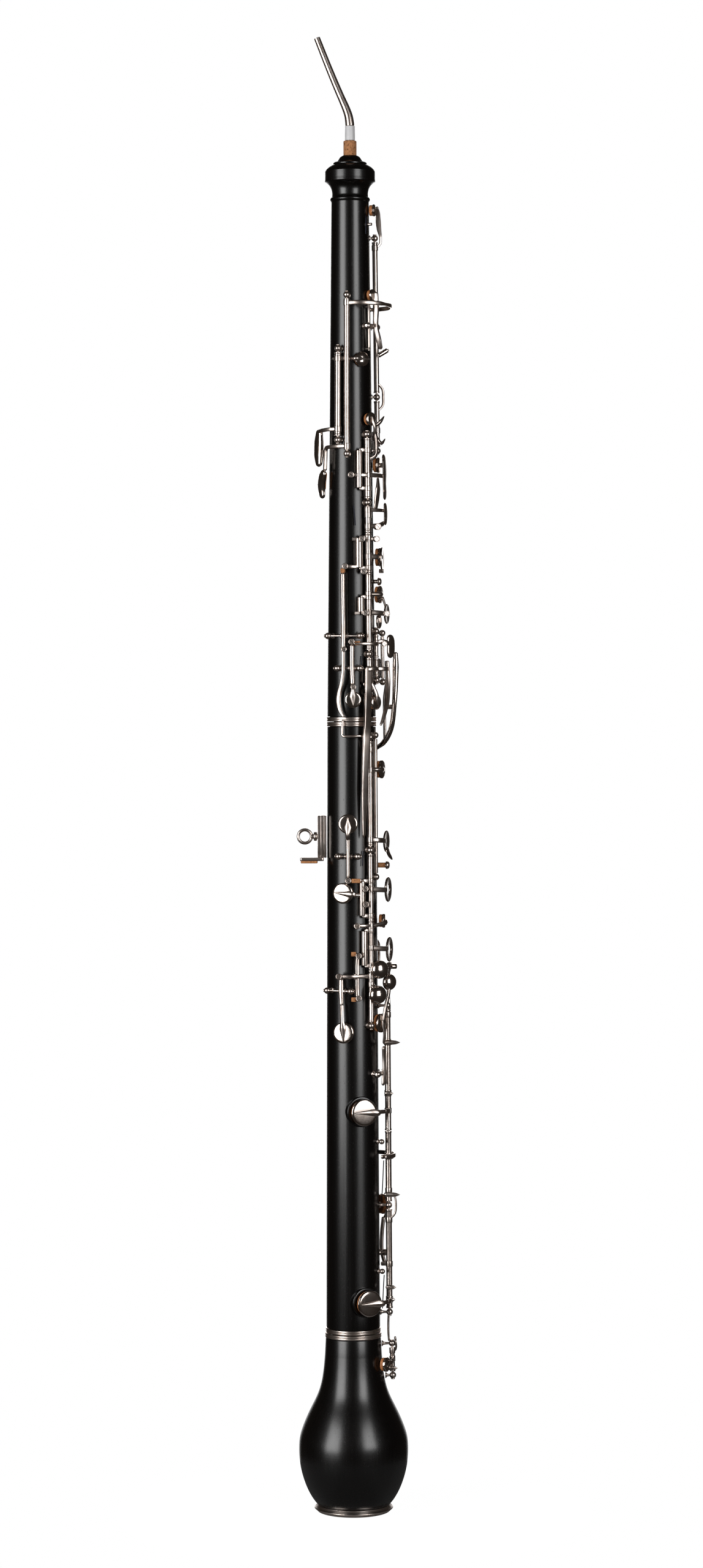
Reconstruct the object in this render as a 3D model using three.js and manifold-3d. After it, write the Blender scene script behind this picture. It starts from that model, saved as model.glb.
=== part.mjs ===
// English horn, in millimetres, +Z up, origin at the centre of the bell mouth.
// The front, where the fingers go, faces +X and the thumbs' side faces -X.
// Angles are in degrees round the body, from the front (+X) towards -Y.
import * as THREE from 'three';
import { mergeVertices } from 'three/addons/utils/BufferGeometryUtils.js';
import Module from 'manifold-3d';

const wasm = await Module();
wasm.setup();

// Body: lengths of the three joints and outside radii of the turned wood
const bellLength = 105.3;
const lowerLength = 360.3;
const upperLength = 334.4;
const bellRadius = 32.2;
const bellNeckRadius = 16.3;
const footRadius = 15.9;
const seamRadius = 14.35;
const neckRadius = 11.2;
const headLength = 27.6;
const headRadius = 14.9;

// Bore radii, and the tenons with their cork
const topBoreRadius = 2.6;
const seamBoreRadius = 4.9;
const footBoreRadius = 7.6;
const bulbBoreRadius = 21.5;
const mouthBoreRadius = 16.5;
const tenonLength = 22;
const tenonRadius = 12.2;
const middleTenonRadius = 10.6;
const corkDepth = 1.3;
const corkMargin = 3;
const headSocketRadius = 4.15;
const headSocketDepth = 22;

// Silver rings at the joints and at the bell mouth
const ringHeight = 2.6;
const ringProud = 0.35;
const ringWall = 1.5;
const rimHeight = bellLength * 0.038;
const rimRadius = 23.2;
const rimWall = 3.6;

// Bocal
const bocalHeight = 69.4;
const bocalReach = 19.3;
const bocalTipRadius = 1.85;
const bocalFootRadius = 2.7;
const bocalWall = 0.6;
const bocalTenonRadius = 2.1;
const sleeveRadius = 2.95;
const sleeveHeight = 8.5;
const sleeveFoot = 8.8;
const bocalCorkRadius = 3.85;

// Key work
const keyLift = 3.4;
const tubeRadius = 1.55;
const tubeBore = 1.05;
const rodRadius = 0.7;
const ballRadius = 2;
const stemRadius = 0.9;
const postFootRadius = 1.7;
const postFootHeight = 0.6;
const barRadius = 1.4;
const armHalfWidth = 1.25;
const armHalfThickness = 0.6;
const padThickness = 1.7;
const cupHeight = 1.5;
const cupBevel = 0.6;
const plateThickness = 1.2;
const domeHeight = 1.6;
const touchHalfWidth = 3.8;
const bladeHalfWidth = 2.2;
const openRise = 1.1;
const chimneyRise = 1.5;
const chimneyMargin = 1.1;

// Thumb rest with its strap ring
const railHalfWidth = 1.6;
const railDepth = 1.8;
const thumbPlateHalfWidth = 4.5;
const thumbPlateThickness = 1.2;
const thumbPlateLength = 25;
const slideHalfWidth = 4;
const slideDepth = 3.8;
const shelfReach = 14.2;
const shelfHalfWidth = 6.5;
const shelfThickness = 1.8;
const shelfCorkThickness = 1.7;
const shelfCorkMargin = 0.5;
const strapRingRadius = 3.9;
const strapWireRadius = 0.62;
const strapStemRadius = 1.2;
const strapStemLength = 2.6;
const strapNutRadius = 2.4;
const strapNutHeight = 1;

// Clearances and overruns
const fitGap = 0.3;
const cutOverrun = 1;

// Facet counts
const bodySides = 24;
const ringSides = 24;
const tubeSides = 8;
const rodSides = 6;
const postSides = 6;
const discSides = 10;
const stripSides = 4;

const upright = new THREE.Vector3(0, 0, 1);

const bell = { foot: 0, span: bellLength };
const lower = { foot: bellLength, span: lowerLength };
const upper = { foot: bellLength + lowerLength, span: upperLength };
const woodTop = upper.foot + upper.span;
const headFoot = woodTop - headLength;

// Outside of the bell from the rim ring up to the neck, as shares of bellRadius and bellLength
const bellOutlineShares = [
  [0.672, 0.041], [0.71, 0.055], [0.888, 0.155], [0.978, 0.257], [1, 0.361], [0.98, 0.42],
  [0.938, 0.463], [0.792, 0.567], [0.634, 0.67], [0.556, 0.773], [0.522, 0.877],
];
// Bore of the bell, as shares of bulbBoreRadius and bellLength
const bulbBoreShares = [[0.82, 0.09], [0.96, 0.2], [1, 0.34], [0.86, 0.5], [0.56, 0.64]];
// Turned head above the straight wood, as shares of headRadius and headLength
const headOutlineShares = [
  [0.752, 0], [0.792, 0.022], [0.792, 0.087], [0.752, 0.105], [0.718, 0.21], [0.826, 0.33],
  [0.98, 0.435], [1, 0.53], [0.98, 0.63], [0.839, 0.754], [0.664, 0.815], [0.664, 0.866],
  [0.57, 0.91], [0.436, 0.975], [0.389, 1],
];

function mix(a, b, share) {
  return a + (b - a) * share;
}

// Outside radius of the wood at a height, the bell by its outline and the joints by their taper
function woodRadius(z) {
  if (z >= upper.foot) return mix(seamRadius, neckRadius, (z - upper.foot) / (headFoot - upper.foot));
  if (z >= lower.foot) return mix(footRadius, seamRadius, (z - lower.foot) / lower.span);
  const outline = bellOutlineShares.map(([radius, height]) => [radius * bellRadius, height * bellLength]);
  outline.push([bellNeckRadius, bellLength]);
  const above = outline.findIndex(([, height]) => height >= z);
  const [r0, z0] = outline[above - 1];
  const [r1, z1] = outline[above];
  return mix(r0, r1, (z - z0) / (z1 - z0));
}

function outward(angle) {
  const turn = THREE.MathUtils.degToRad(angle);
  return new THREE.Vector3(Math.cos(turn), -Math.sin(turn), 0);
}

// Point at a radius round the body, an angle and a height
function polar(radius, angle, z) {
  return outward(angle).multiplyScalar(radius).setZ(z);
}

// Point above the wood: angle, lift as a share of keyLift, height as a share of the joint
function spot(section, [angle, lift, share]) {
  const z = section.foot + section.span * share;
  return polar(woodRadius(z) + keyLift * lift, angle, z);
}

// Solid from a closed geometry, welded, without slivers, and with its faces turned outwards
function solid(geometry) {
  geometry.deleteAttribute('normal');
  geometry.deleteAttribute('uv');
  const welded = mergeVertices(geometry);
  const places = welded.attributes.position;
  const corners = welded.index.array;
  const triangles = [];
  const [a, b, c] = [new THREE.Vector3(), new THREE.Vector3(), new THREE.Vector3()];
  let volume = 0;
  for (let i = 0; i < corners.length; i += 3) {
    const [p, q, r] = corners.slice(i, i + 3);
    if (p === q || q === r || r === p) continue;
    a.fromBufferAttribute(places, p);
    b.fromBufferAttribute(places, q);
    c.fromBufferAttribute(places, r);
    volume += a.dot(b.cross(c));
    triangles.push([p, q, r]);
  }
  const turned = volume < 0 ? triangles.map(([p, q, r]) => [p, r, q]) : triangles;
  return new wasm.Manifold(new wasm.Mesh({
    numProp: 3,
    vertProperties: new Float32Array(places.array),
    triVerts: new Uint32Array(turned.flat()),
  }));
}

function join(solids) {
  return solids.reduce((whole, piece) => whole.add(piece));
}

// Turned solid on the Z axis from points of radius and height
function turned(points, sides) {
  const profile = points.map(([radius, height]) => new THREE.Vector2(radius, height));
  return new THREE.LatheGeometry(profile, sides).rotateX(Math.PI / 2);
}

// Geometry made round +Z from its own origin, stood at a place along a direction
function stand(geometry, place, direction) {
  geometry.applyQuaternion(new THREE.Quaternion().setFromUnitVectors(upright, direction));
  geometry.translate(place.x, place.y, place.z);
  return solid(geometry);
}

function ringShape(inner, outer, foot, top, sides) {
  return solid(turned([[inner, foot], [outer, foot], [outer, top], [inner, top], [inner, foot]], sides));
}

// Round bar from one place to another
function bar(from, to, radius, sides) {
  const length = from.distanceTo(to);
  const profile = [[0, 0], [radius, 0], [radius, length], [0, length]];
  return stand(turned(profile, sides), from, to.clone().sub(from).normalize());
}

// Closed skin over rings of points, with a flat end at both sides
function loft(rings) {
  const count = rings[0].length;
  const places = rings.flat();
  const triangles = [];
  for (let i = 0; i < rings.length - 1; i += 1) {
    for (let k = 0; k < count; k += 1) {
      const next = (k + 1) % count;
      const [a, b] = [i * count + k, i * count + next];
      triangles.push(a, b, b + count, a, b + count, a + count);
    }
  }
  const last = (rings.length - 1) * count;
  for (let k = 1; k < count - 1; k += 1) {
    triangles.push(0, k + 1, k, last, last + k, last + k + 1);
  }
  const geometry = new THREE.BufferGeometry().setFromPoints(places);
  geometry.setIndex(triangles);
  return solid(geometry);
}

// Ring of corners round a place on a curve, square to the run, that reach out wide and thick from it
function section(place, run, away, wide, thick, sides) {
  const across = new THREE.Vector3().crossVectors(run, away).normalize();
  const over = new THREE.Vector3().crossVectors(across, run).normalize();
  const reach = 1 / Math.cos(Math.PI / sides);
  return Array.from({ length: sides }, (_, k) => {
    const turn = (Math.PI * (2 * k + 1)) / sides;
    return place.clone().addScaledVector(across, wide * reach * Math.cos(turn))
      .addScaledVector(over, thick * reach * Math.sin(turn));
  });
}

// Flat arm or lever through places above the wood, whose flat side faces the wood
function strip(joint, rows, halfWidth = armHalfWidth, halfThickness = armHalfThickness) {
  const curve = new THREE.CatmullRomCurve3(rows.map((row) => spot(joint, row)), false, 'centripetal');
  const steps = rows.length - 1;
  const rings = Array.from({ length: steps + 1 }, (_, i) => {
    const place = curve.getPoint(i / steps);
    const away = new THREE.Vector3(place.x, place.y, 0).normalize();
    return section(place, curve.getTangent(i / steps), away, halfWidth, halfThickness, stripSides);
  });
  return loft(rings);
}

// Hinge line of a key between two places above the wood
function hingeLine(joint, from, to) {
  return { joint, from, to, a: spot(joint, from), b: spot(joint, to) };
}

function linePoint(line, share) {
  return line.a.clone().lerp(line.b, (share - line.from[2]) / (line.to[2] - line.from[2]));
}

// Key tube between two stops of its line, kept clear of a post's ball or of the next tube
function tube(line, from, to) {
  const [start, end] = [linePoint(line, from.share), linePoint(line, to.share)];
  const run = end.clone().sub(start).normalize();
  const room = (stop) => (stop.post ? ballRadius + fitGap : fitGap / 2);
  start.addScaledVector(run, room(from));
  end.addScaledVector(run, -room(to));
  return bar(start, end, tubeRadius, tubeSides);
}

// Clear way for the steel rod through a key
function rodWay(a, b) {
  const run = b.clone().sub(a).normalize().multiplyScalar(cutOverrun);
  return bar(a.clone().sub(run), b.clone().add(run), tubeBore, postSides);
}

// Post screwed into the wood, with a ball for the rod
function post(place) {
  const away = new THREE.Vector3(place.x, place.y, 0);
  const seat = Math.max(woodRadius(place.z - postFootRadius), woodRadius(place.z + postFootRadius));
  const height = away.length() - seat - fitGap;
  away.normalize();
  const profile = [
    [0, 0], [postFootRadius, 0], [postFootRadius, postFootHeight], [stemRadius, postFootHeight],
    [stemRadius, height - ballRadius * 0.9], [ballRadius, height - ballRadius * 0.3],
    [ballRadius * 0.8, height + ballRadius * 0.7], [0, height + ballRadius],
  ];
  return stand(turned(profile, postSides), place.clone().addScaledVector(away, -height), away);
}

// Posts of a hinge line, joined by their rod
function postsOf(line, stops) {
  const places = stops.filter((stop) => stop.post).map((stop) => linePoint(line, stop.share));
  const rod = bar(places[0], places[places.length - 1], rodRadius, rodSides);
  return join([rod, ...places.map(post)]);
}

// Pivot of a lever that rocks along the body: two posts side by side at one height
function crossPivot(joint, [angle, lift, share], spread) {
  const a = spot(joint, [angle - spread, lift, share]);
  const b = spot(joint, [angle + spread, lift, share]);
  return { a, b, joint, angle, share, radius: a.clone().lerp(b, 1 / 2).setZ(0).length() };
}

function crossPosts(pivot) {
  return join([bar(pivot.a, pivot.b, rodRadius, rodSides), post(pivot.a), post(pivot.b)]);
}

// Hub of a rocking lever where it crosses its pivot rod at an angle
function hub(pivot, angle, halfLength) {
  const run = pivot.b.clone().sub(pivot.a).normalize();
  const centre = pivot.a.clone().lerp(pivot.b, 1 / 2);
  const aside = pivot.radius * Math.tan(THREE.MathUtils.degToRad(angle - pivot.angle));
  centre.addScaledVector(run, aside);
  const start = centre.clone().addScaledVector(run, -halfLength);
  const end = centre.clone().addScaledVector(run, halfLength);
  return bar(start, end, tubeRadius, tubeSides);
}

// Pad seat: height of the wood's face under a pad
function seatRadius(joint, hole) {
  return woodRadius(joint.foot + joint.span * hole.share) + (hole.chimney ? chimneyRise : 0);
}

// Face of the pad over its hole: closed pads rest on the seat, open ones stand above it
function padFace(joint, hole) {
  return seatRadius(joint, hole) + fitGap + (hole.open ? openRise : 0);
}

function padOf(joint, hole) {
  const radius = hole.radius - cupBevel;
  const profile = [[0, 0], [radius, 0], [radius, padThickness], [0, padThickness]];
  const z = joint.foot + joint.span * hole.share;
  return stand(turned(profile, discSides), polar(padFace(joint, hole), hole.angle, z), outward(hole.angle));
}

// Cup over a pad, with a bevelled edge and a slight crown
function cupOf(joint, hole) {
  const foot = padFace(joint, hole) + padThickness + fitGap;
  const profile = [
    [0, 0], [hole.radius, 0], [hole.radius, cupHeight - cupBevel],
    [hole.radius - cupBevel, cupHeight], [0, cupHeight + cupBevel / 2],
  ];
  const z = joint.foot + joint.span * hole.share;
  return stand(turned(profile, discSides), polar(foot, hole.angle, z), outward(hole.angle));
}

// Finger plate above the wood, with a rounded edge
function plateOf(joint, place, radius) {
  const profile = [
    [0, 0], [radius - plateThickness / 2, 0], [radius, plateThickness / 2],
    [radius - plateThickness / 3, plateThickness], [0, plateThickness * 0.8],
  ];
  return stand(turned(profile, discSides), spot(joint, place), outward(place[0]));
}

// Ring for a finger, open in the middle
function fingerRing(joint, place, radius, hole) {
  const profile = [[hole, 0], [radius, 0], [radius, plateThickness], [hole, plateThickness], [hole, 0]];
  return stand(turned(profile, discSides), spot(joint, place), outward(place[0]));
}

// Domed touch for a little finger
function domeOf(joint, place, radius) {
  const profile = [
    [0, 0], [radius * 0.9, 0], [radius, plateThickness / 2], [radius * 0.75, domeHeight],
    [0, domeHeight * 1.4],
  ];
  return stand(turned(profile, discSides), spot(joint, place), outward(place[0]));
}

// Bar beside a key tube, with an arm to it at each end
function sideBar(line, angle, from, to) {
  const joint = line.joint;
  const lift = line.from[1];
  const own = line.from[0];
  const turns = [own, (own + angle) / 2, angle];
  const arms = [from, to].map((share) => strip(joint, turns.map((turn) => [turn, lift, share])));
  const side = bar(spot(joint, [angle, lift, from]), spot(joint, [angle, lift, to]), barRadius, postSides);
  return join([side, ...arms]);
}

// Arm that leads from the top of a cup or plate down to it
function boss(joint, [angle, , share], from, to, radius) {
  const z = joint.foot + joint.span * share;
  return bar(polar(from, angle, z), polar(to, angle, z), radius, postSides);
}

const at = (share) => ({ share, post: false });
const postAt = (share) => ({ share, post: true });

// Hinge lines along the upper joint and their stops, from the foot up
const trillLine = hingeLine(upper, [-18, 1.12, 0.479], [-18, 1.12, 0.855]);
const trillStops = [postAt(0.479), postAt(0.574), postAt(0.855)];
const firstOctaveLine = hingeLine(upper, [118.5, 1, 0.495], [118.5, 1, 0.656]);
const firstOctaveStops = [postAt(0.495), postAt(0.656)];
const secondOctaveLine = hingeLine(upper, [97.3, 1.53, 0.47], [97.3, 1.53, 0.749]);
const secondOctaveStops = [postAt(0.47), postAt(0.749)];
const upperLine = hingeLine(upper, [53, 1, 0.048], [53, 1, 0.505]);
const upperStops = [postAt(0.048), postAt(0.119), at(0.262), at(0.332), postAt(0.385), postAt(0.505)];
const leftLine = hingeLine(upper, [33, 1, 0.073], [33, 1, 0.159]);
const leftStops = [postAt(0.073), at(0.112), postAt(0.159)];

// Hinge lines along the lower joint and the bell
const lowerLine = hingeLine(lower, [53, 1, 0.505], [53, 1, 0.975]);
const lowerStops = [postAt(0.505), at(0.596), at(0.674), postAt(0.791), postAt(0.975)];
const leftLeverLine = hingeLine(lower, [-46, 1, 0.262], [-46, 1, 0.972]);
const leftLeverStops = [postAt(0.262), postAt(0.62), postAt(0.972)];
const footLine = hingeLine(lower, [4, 1.65, 0.033], [4, 1.65, 0.535]);
const footStops = [postAt(0.033), postAt(0.208), at(0.33), postAt(0.535)];
const bellLine = hingeLine(bell, [0, 1.45, 0.756], [0, 1.85, 0.935]);
const bellStops = [postAt(0.756), postAt(0.935)];

// Pivots of the levers that rock along the body
const rockerPivot = crossPivot(upper, [25, 1.06, 0.696], 24);
const bridgePivot = crossPivot(upper, [105.8, 1.33, 0.151], 32.6);
const sidePivot = crossPivot(upper, [96.1, 1.03, 0.094], 22.3);
const ventPivot = crossPivot(lower, [97.4, 1, 0.781], 18.5);
const flatPivot = crossPivot(lower, [117, 1.15, 0.562], 24);
const sharpPivot = crossPivot(lower, [15, 1.1, 0.425], 24);
const lowVentPivot = crossPivot(lower, [-30, 1.05, 0.128], 16);

// Tone holes with their cups: angle, height as a share of the joint, radius of the cup
const holes = {
  trill: { angle: 8, share: 0.902, radius: 3.6 },
  rocker: { angle: 26, share: 0.751, radius: 3.6 },
  firstOctave: { angle: 63.7, share: 0.637, radius: 4.3 },
  secondOctave: { angle: -52, share: 0.731, radius: 3.8 },
  leftTop: { angle: 44, share: 0.532, radius: 4, open: true },
  leftIndex: { angle: 14, share: 0.452, radius: 4.6, open: true },
  leftMiddle: { angle: 8, share: 0.29, radius: 5.6, open: true },
  leftRing: { angle: 14, share: 0.224, radius: 5.2, open: true },
  bridgeVent: { angle: 38, share: 0.034, radius: 4.4, open: true },
  side: { angle: 87, share: 0.039, radius: 4.85, open: true },
  rightIndex: { angle: 16, share: 0.922, radius: 5.4, open: true },
  vent: { angle: 97, share: 0.834, radius: 5.75, open: true },
  forked: { angle: 107.6, share: 0.721, radius: 6.1 },
  rightRing: { angle: 8, share: 0.674, radius: 4.2, open: true },
  flat: { angle: 107, share: 0.494, radius: 6.2 },
  sharp: { angle: 28, share: 0.508, radius: 5.6, open: true },
  lowC: { angle: 70.9, share: 0.365, radius: 7.9, chimney: true, open: true },
  lowVent: { angle: -27, share: 0.206, radius: 6, open: true },
  lowB: { angle: 63, share: 0.054, radius: 7.7, chimney: true, open: true },
  bell: { angle: 24, share: 0.83, radius: 4.3, open: true },
};
const upperHoles = ['trill', 'rocker', 'firstOctave', 'secondOctave', 'leftTop', 'leftIndex', 'leftMiddle',
  'leftRing', 'bridgeVent', 'side'].map((name) => holes[name]);
const lowerHoles = ['rightIndex', 'vent', 'forked', 'rightRing', 'flat', 'sharp', 'lowC', 'lowVent', 'lowB']
  .map((name) => holes[name]);
const holeRadiusShare = 0.42;

// Wood with its tone holes, and raised chimneys under the two big low cups
function boredWood(body, joint, toneHoles, boreRadius) {
  let wood = body;
  for (const hole of toneHoles) {
    const z = joint.foot + joint.span * hole.share;
    if (hole.chimney) {
      const top = polar(seatRadius(joint, hole), hole.angle, z);
      const chimney = bar(polar(boreRadius * 2, hole.angle, z), top, hole.radius + chimneyMargin, discSides);
      wood = wood.add(chimney.subtract(bar(new THREE.Vector3(0, 0, z - hole.radius * 2),
        new THREE.Vector3(0, 0, z + hole.radius * 2), boreRadius * 1.5, discSides)));
    }
    const outer = polar(seatRadius(joint, hole) + cutOverrun, hole.angle, z);
    wood = wood.subtract(bar(polar(0, hole.angle, z), outer, hole.radius * holeRadiusShare, postSides));
  }
  return wood;
}

// Bell: bulb with its hollow, a socket for the foot tenon and a tongue inside the rim ring
function bellWood() {
  const outline = bellOutlineShares.map(([radius, height]) => [radius * bellRadius, height * bellLength]);
  const bulb = bulbBoreShares.map(([radius, height]) => [radius * bulbBoreRadius, height * bellLength]);
  const shoulder = bellLength - fitGap / 2 - ringHeight - fitGap;
  const tongue = rimRadius - rimWall - fitGap;
  const ringSeat = bellNeckRadius + ringProud - ringWall - fitGap;
  const socketFoot = bellLength - tenonLength - fitGap * 2;
  return boredWood(solid(turned([
    [mouthBoreRadius, fitGap], [tongue, fitGap], [tongue, rimHeight + fitGap],
    ...outline, [bellNeckRadius, shoulder], [ringSeat, shoulder], [ringSeat, bellLength - fitGap / 2],
    [tenonRadius + fitGap, bellLength - fitGap / 2], [tenonRadius + fitGap, socketFoot],
    [footBoreRadius, socketFoot], ...bulb.reverse(), [mouthBoreRadius, fitGap],
  ], bodySides)), bell, [holes.bell], footBoreRadius);
}

// Rim ring round the bell mouth, bevelled above and below its bright edge
function rimRing() {
  const inner = rimRadius - rimWall;
  return solid(turned([
    [inner, 0], [rimRadius - rimWall / 2, 0], [rimRadius - rimWall / 4, rimHeight / 4],
    [rimRadius, rimHeight * 0.42], [rimRadius - rimWall / 4, rimHeight * 0.8],
    [rimRadius - rimWall / 2, rimHeight], [inner, rimHeight], [inner, 0],
  ], ringSides));
}

// Lower joint: tenon below, socket above for the middle tenon, tapered bore
function lowerWood() {
  const foot = bellLength + fitGap / 2;
  const top = upper.foot - fitGap / 2;
  const tenonFoot = bellLength - tenonLength;
  const grooveRadius = tenonRadius - corkDepth - fitGap;
  const seatLow = footRadius + ringProud - ringWall - fitGap;
  const seatHigh = seamRadius + ringProud - ringWall - fitGap;
  const shoulderLow = foot + ringHeight + fitGap;
  const shoulderHigh = top - ringHeight - fitGap;
  const socket = middleTenonRadius + fitGap;
  const socketFoot = upper.foot - tenonLength - fitGap * 2;
  return boredWood(solid(turned([
    [footBoreRadius, tenonFoot], [tenonRadius, tenonFoot], [tenonRadius, tenonFoot + corkMargin],
    [grooveRadius, tenonFoot + corkMargin], [grooveRadius, foot - corkMargin],
    [tenonRadius, foot - corkMargin], [tenonRadius, foot], [seatLow, foot], [seatLow, shoulderLow],
    [woodRadius(shoulderLow), shoulderLow],
    [woodRadius(shoulderHigh), shoulderHigh], [seatHigh, shoulderHigh], [seatHigh, top], [socket, top],
    [socket, socketFoot], [seamBoreRadius, socketFoot], [footBoreRadius, tenonFoot],
  ], bodySides)), lower, lowerHoles, seamBoreRadius);
}

// Upper joint: tenon below, turned head with the bocal socket above
function upperWood() {
  const foot = upper.foot + fitGap / 2;
  const tenonFoot = upper.foot - tenonLength;
  const grooveRadius = middleTenonRadius - corkDepth - fitGap;
  const seat = seamRadius + ringProud - ringWall - fitGap;
  const shoulder = foot + ringHeight + fitGap;
  const head = headOutlineShares
    .map(([radius, height]) => [radius * headRadius, headFoot + height * headLength]);
  const socketFoot = woodTop - headSocketDepth;
  return boredWood(solid(turned([
    [seamBoreRadius, tenonFoot], [middleTenonRadius, tenonFoot], [middleTenonRadius, tenonFoot + corkMargin],
    [grooveRadius, tenonFoot + corkMargin], [grooveRadius, foot - corkMargin],
    [middleTenonRadius, foot - corkMargin], [middleTenonRadius, foot], [seat, foot], [seat, shoulder],
    [woodRadius(shoulder), shoulder], ...head, [headSocketRadius, woodTop], [headSocketRadius, socketFoot],
    [topBoreRadius, socketFoot], [seamBoreRadius, tenonFoot],
  ], bodySides)), upper, upperHoles, topBoreRadius);
}

// Silver ring let into the wood at a joint line
function jointRing(radius, foot) {
  const outer = radius + ringProud;
  return ringShape(outer - ringWall, outer, foot, foot + ringHeight, ringSides);
}

function tenonCork(radius, foot, top) {
  return ringShape(radius - corkDepth, radius, foot + corkMargin + fitGap, top - corkMargin, bodySides);
}

// Bocal: tapered tube that leans back towards the player, with its tenon in sleeve and cork
function bocalTube() {
  const foot = woodTop + sleeveFoot + sleeveHeight + fitGap;
  const rise = bocalHeight - (foot - woodTop);
  const routeShares = [[0, 0], [0.03, 0.1], [0.12, 0.2], [0.3, 0.32], [0.62, 0.63], [1, 1]];
  const route = routeShares
    .map(([reach, height]) => new THREE.Vector3(-bocalReach * reach, 0, foot + rise * height));
  const curve = new THREE.CatmullRomCurve3(route, false, 'centripetal');
  const steps = (routeShares.length - 1) * 2;
  const sideways = new THREE.Vector3(0, 1, 0);
  const pipe = (footRadius, tipRadius, overrun) => loft(Array.from({ length: steps + 1 }, (_, i) => {
    const share = i / steps;
    const run = curve.getTangent(share);
    const place = curve.getPoint(share).addScaledVector(run, overrun * (i === steps ? 1 : 0));
    const radius = mix(footRadius, tipRadius, share);
    return section(place, run, sideways, radius, radius, tubeSides);
  }));
  const tenonFoot = woodTop - headSocketDepth + fitGap;
  const tenonTop = foot + bocalTenonRadius;
  const tenonBore = bocalTenonRadius - bocalWall;
  const axis = (z) => new THREE.Vector3(0, 0, z);
  const outer = pipe(bocalFootRadius, bocalTipRadius, 0)
    .add(bar(axis(tenonFoot), axis(tenonTop), bocalTenonRadius, tubeSides));
  const inner = pipe(tenonBore, bocalTipRadius - bocalWall, cutOverrun)
    .add(bar(axis(tenonFoot - cutOverrun), axis(tenonTop), tenonBore, tubeSides));
  return outer.subtract(inner);
}

function bocalSleeve() {
  const foot = woodTop + sleeveFoot;
  return ringShape(bocalTenonRadius + fitGap, sleeveRadius, foot, foot + sleeveHeight, discSides);
}

function bocalCork() {
  const foot = woodTop - headSocketDepth + fitGap * 2;
  const top = woodTop + sleeveFoot - fitGap;
  return ringShape(bocalTenonRadius + fitGap, bocalCorkRadius, foot, top, discSides);
}

// Key made of its parts, with the way for its rod bored through
function keyOn(line, parts) {
  return join(parts).subtract(rodWay(line.a, line.b));
}

function trillKey() {
  return keyOn(trillLine, [
    tube(trillLine, trillStops[0], trillStops[1]),
    tube(trillLine, trillStops[1], trillStops[2]),
    strip(upper, [[-18, 1.12, 0.6], [-18, 2.2, 0.588], [-18, 2.3, 0.574], [-18, 2.2, 0.56],
      [-18, 1.12, 0.548]]),
    strip(upper, [[-18, 1.2, 0.828], [-18, 2.1, 0.846], [-14, 2.1, 0.866], [-2, 1.7, 0.888],
      [8, 1.2, 0.902]]),
    cupOf(upper, holes.trill),
    strip(upper, [[-18, 1.12, 0.515], [-32, 1.5, 0.51], [-46, 1.6, 0.5]]),
    strip(upper, [[-48, 1.6, 0.515], [-48, 1.75, 0.48], [-48, 1.5, 0.445]], touchHalfWidth),
  ]);
}

function rockerKey() {
  return keyOn(rockerPivot, [
    hub(rockerPivot, 25, tubeRadius * 1.5),
    strip(upper, [[26, 1.15, 0.751], [26, 1.2, 0.727], [25, 1.1, 0.696], [20, 1.4, 0.672], [12, 1.6, 0.656]]),
    cupOf(upper, holes.rocker),
    strip(upper, [[22, 1.45, 0.654], [10, 1.65, 0.653], [-2, 2, 0.653]], barRadius, barRadius),
  ]);
}

function firstOctaveKey() {
  return keyOn(firstOctaveLine, [
    tube(firstOctaveLine, firstOctaveStops[0], firstOctaveStops[1]),
    strip(upper, [[134, 1, 0.638], [118.5, 1, 0.638], [107, 0.7, 0.638], [97, 0.6, 0.638], [82, 0.85, 0.637],
      [64, 1.2, 0.637]]),
    cupOf(upper, holes.firstOctave),
    strip(upper, [[118.5, 1, 0.514], [135, 1.35, 0.514], [153, 1.7, 0.513], [172, 1.95, 0.51]]),
    strip(upper, [[176, 1.95, 0.516], [180, 2.1, 0.494], [182, 2.35, 0.47], [180, 2.1, 0.45]],
      touchHalfWidth),
  ]);
}

function secondOctaveKey() {
  return keyOn(secondOctaveLine, [
    tube(secondOctaveLine, secondOctaveStops[0], secondOctaveStops[1]),
    strip(upper, [[97.3, 1.53, 0.735], [70, 2.4, 0.735], [40, 3.3, 0.734], [10, 3.7, 0.733],
      [-14, 3.4, 0.732], [-35, 2.2, 0.731], [-52, 1.15, 0.731]]),
    cupOf(upper, holes.secondOctave),
    strip(upper, [[97.3, 1.53, 0.4835], [115, 1.3, 0.4835], [135, 1.15, 0.483], [154, 1.1, 0.48],
      [156, 1.1, 0.465], [157, 1.1, 0.442]]),
    strip(upper, [[156, 1.15, 0.442], [168, 1.2, 0.431], [178, 1.25, 0.416], [180, 1, 0.394]],
      touchHalfWidth * 0.9),
  ]);
}

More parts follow.
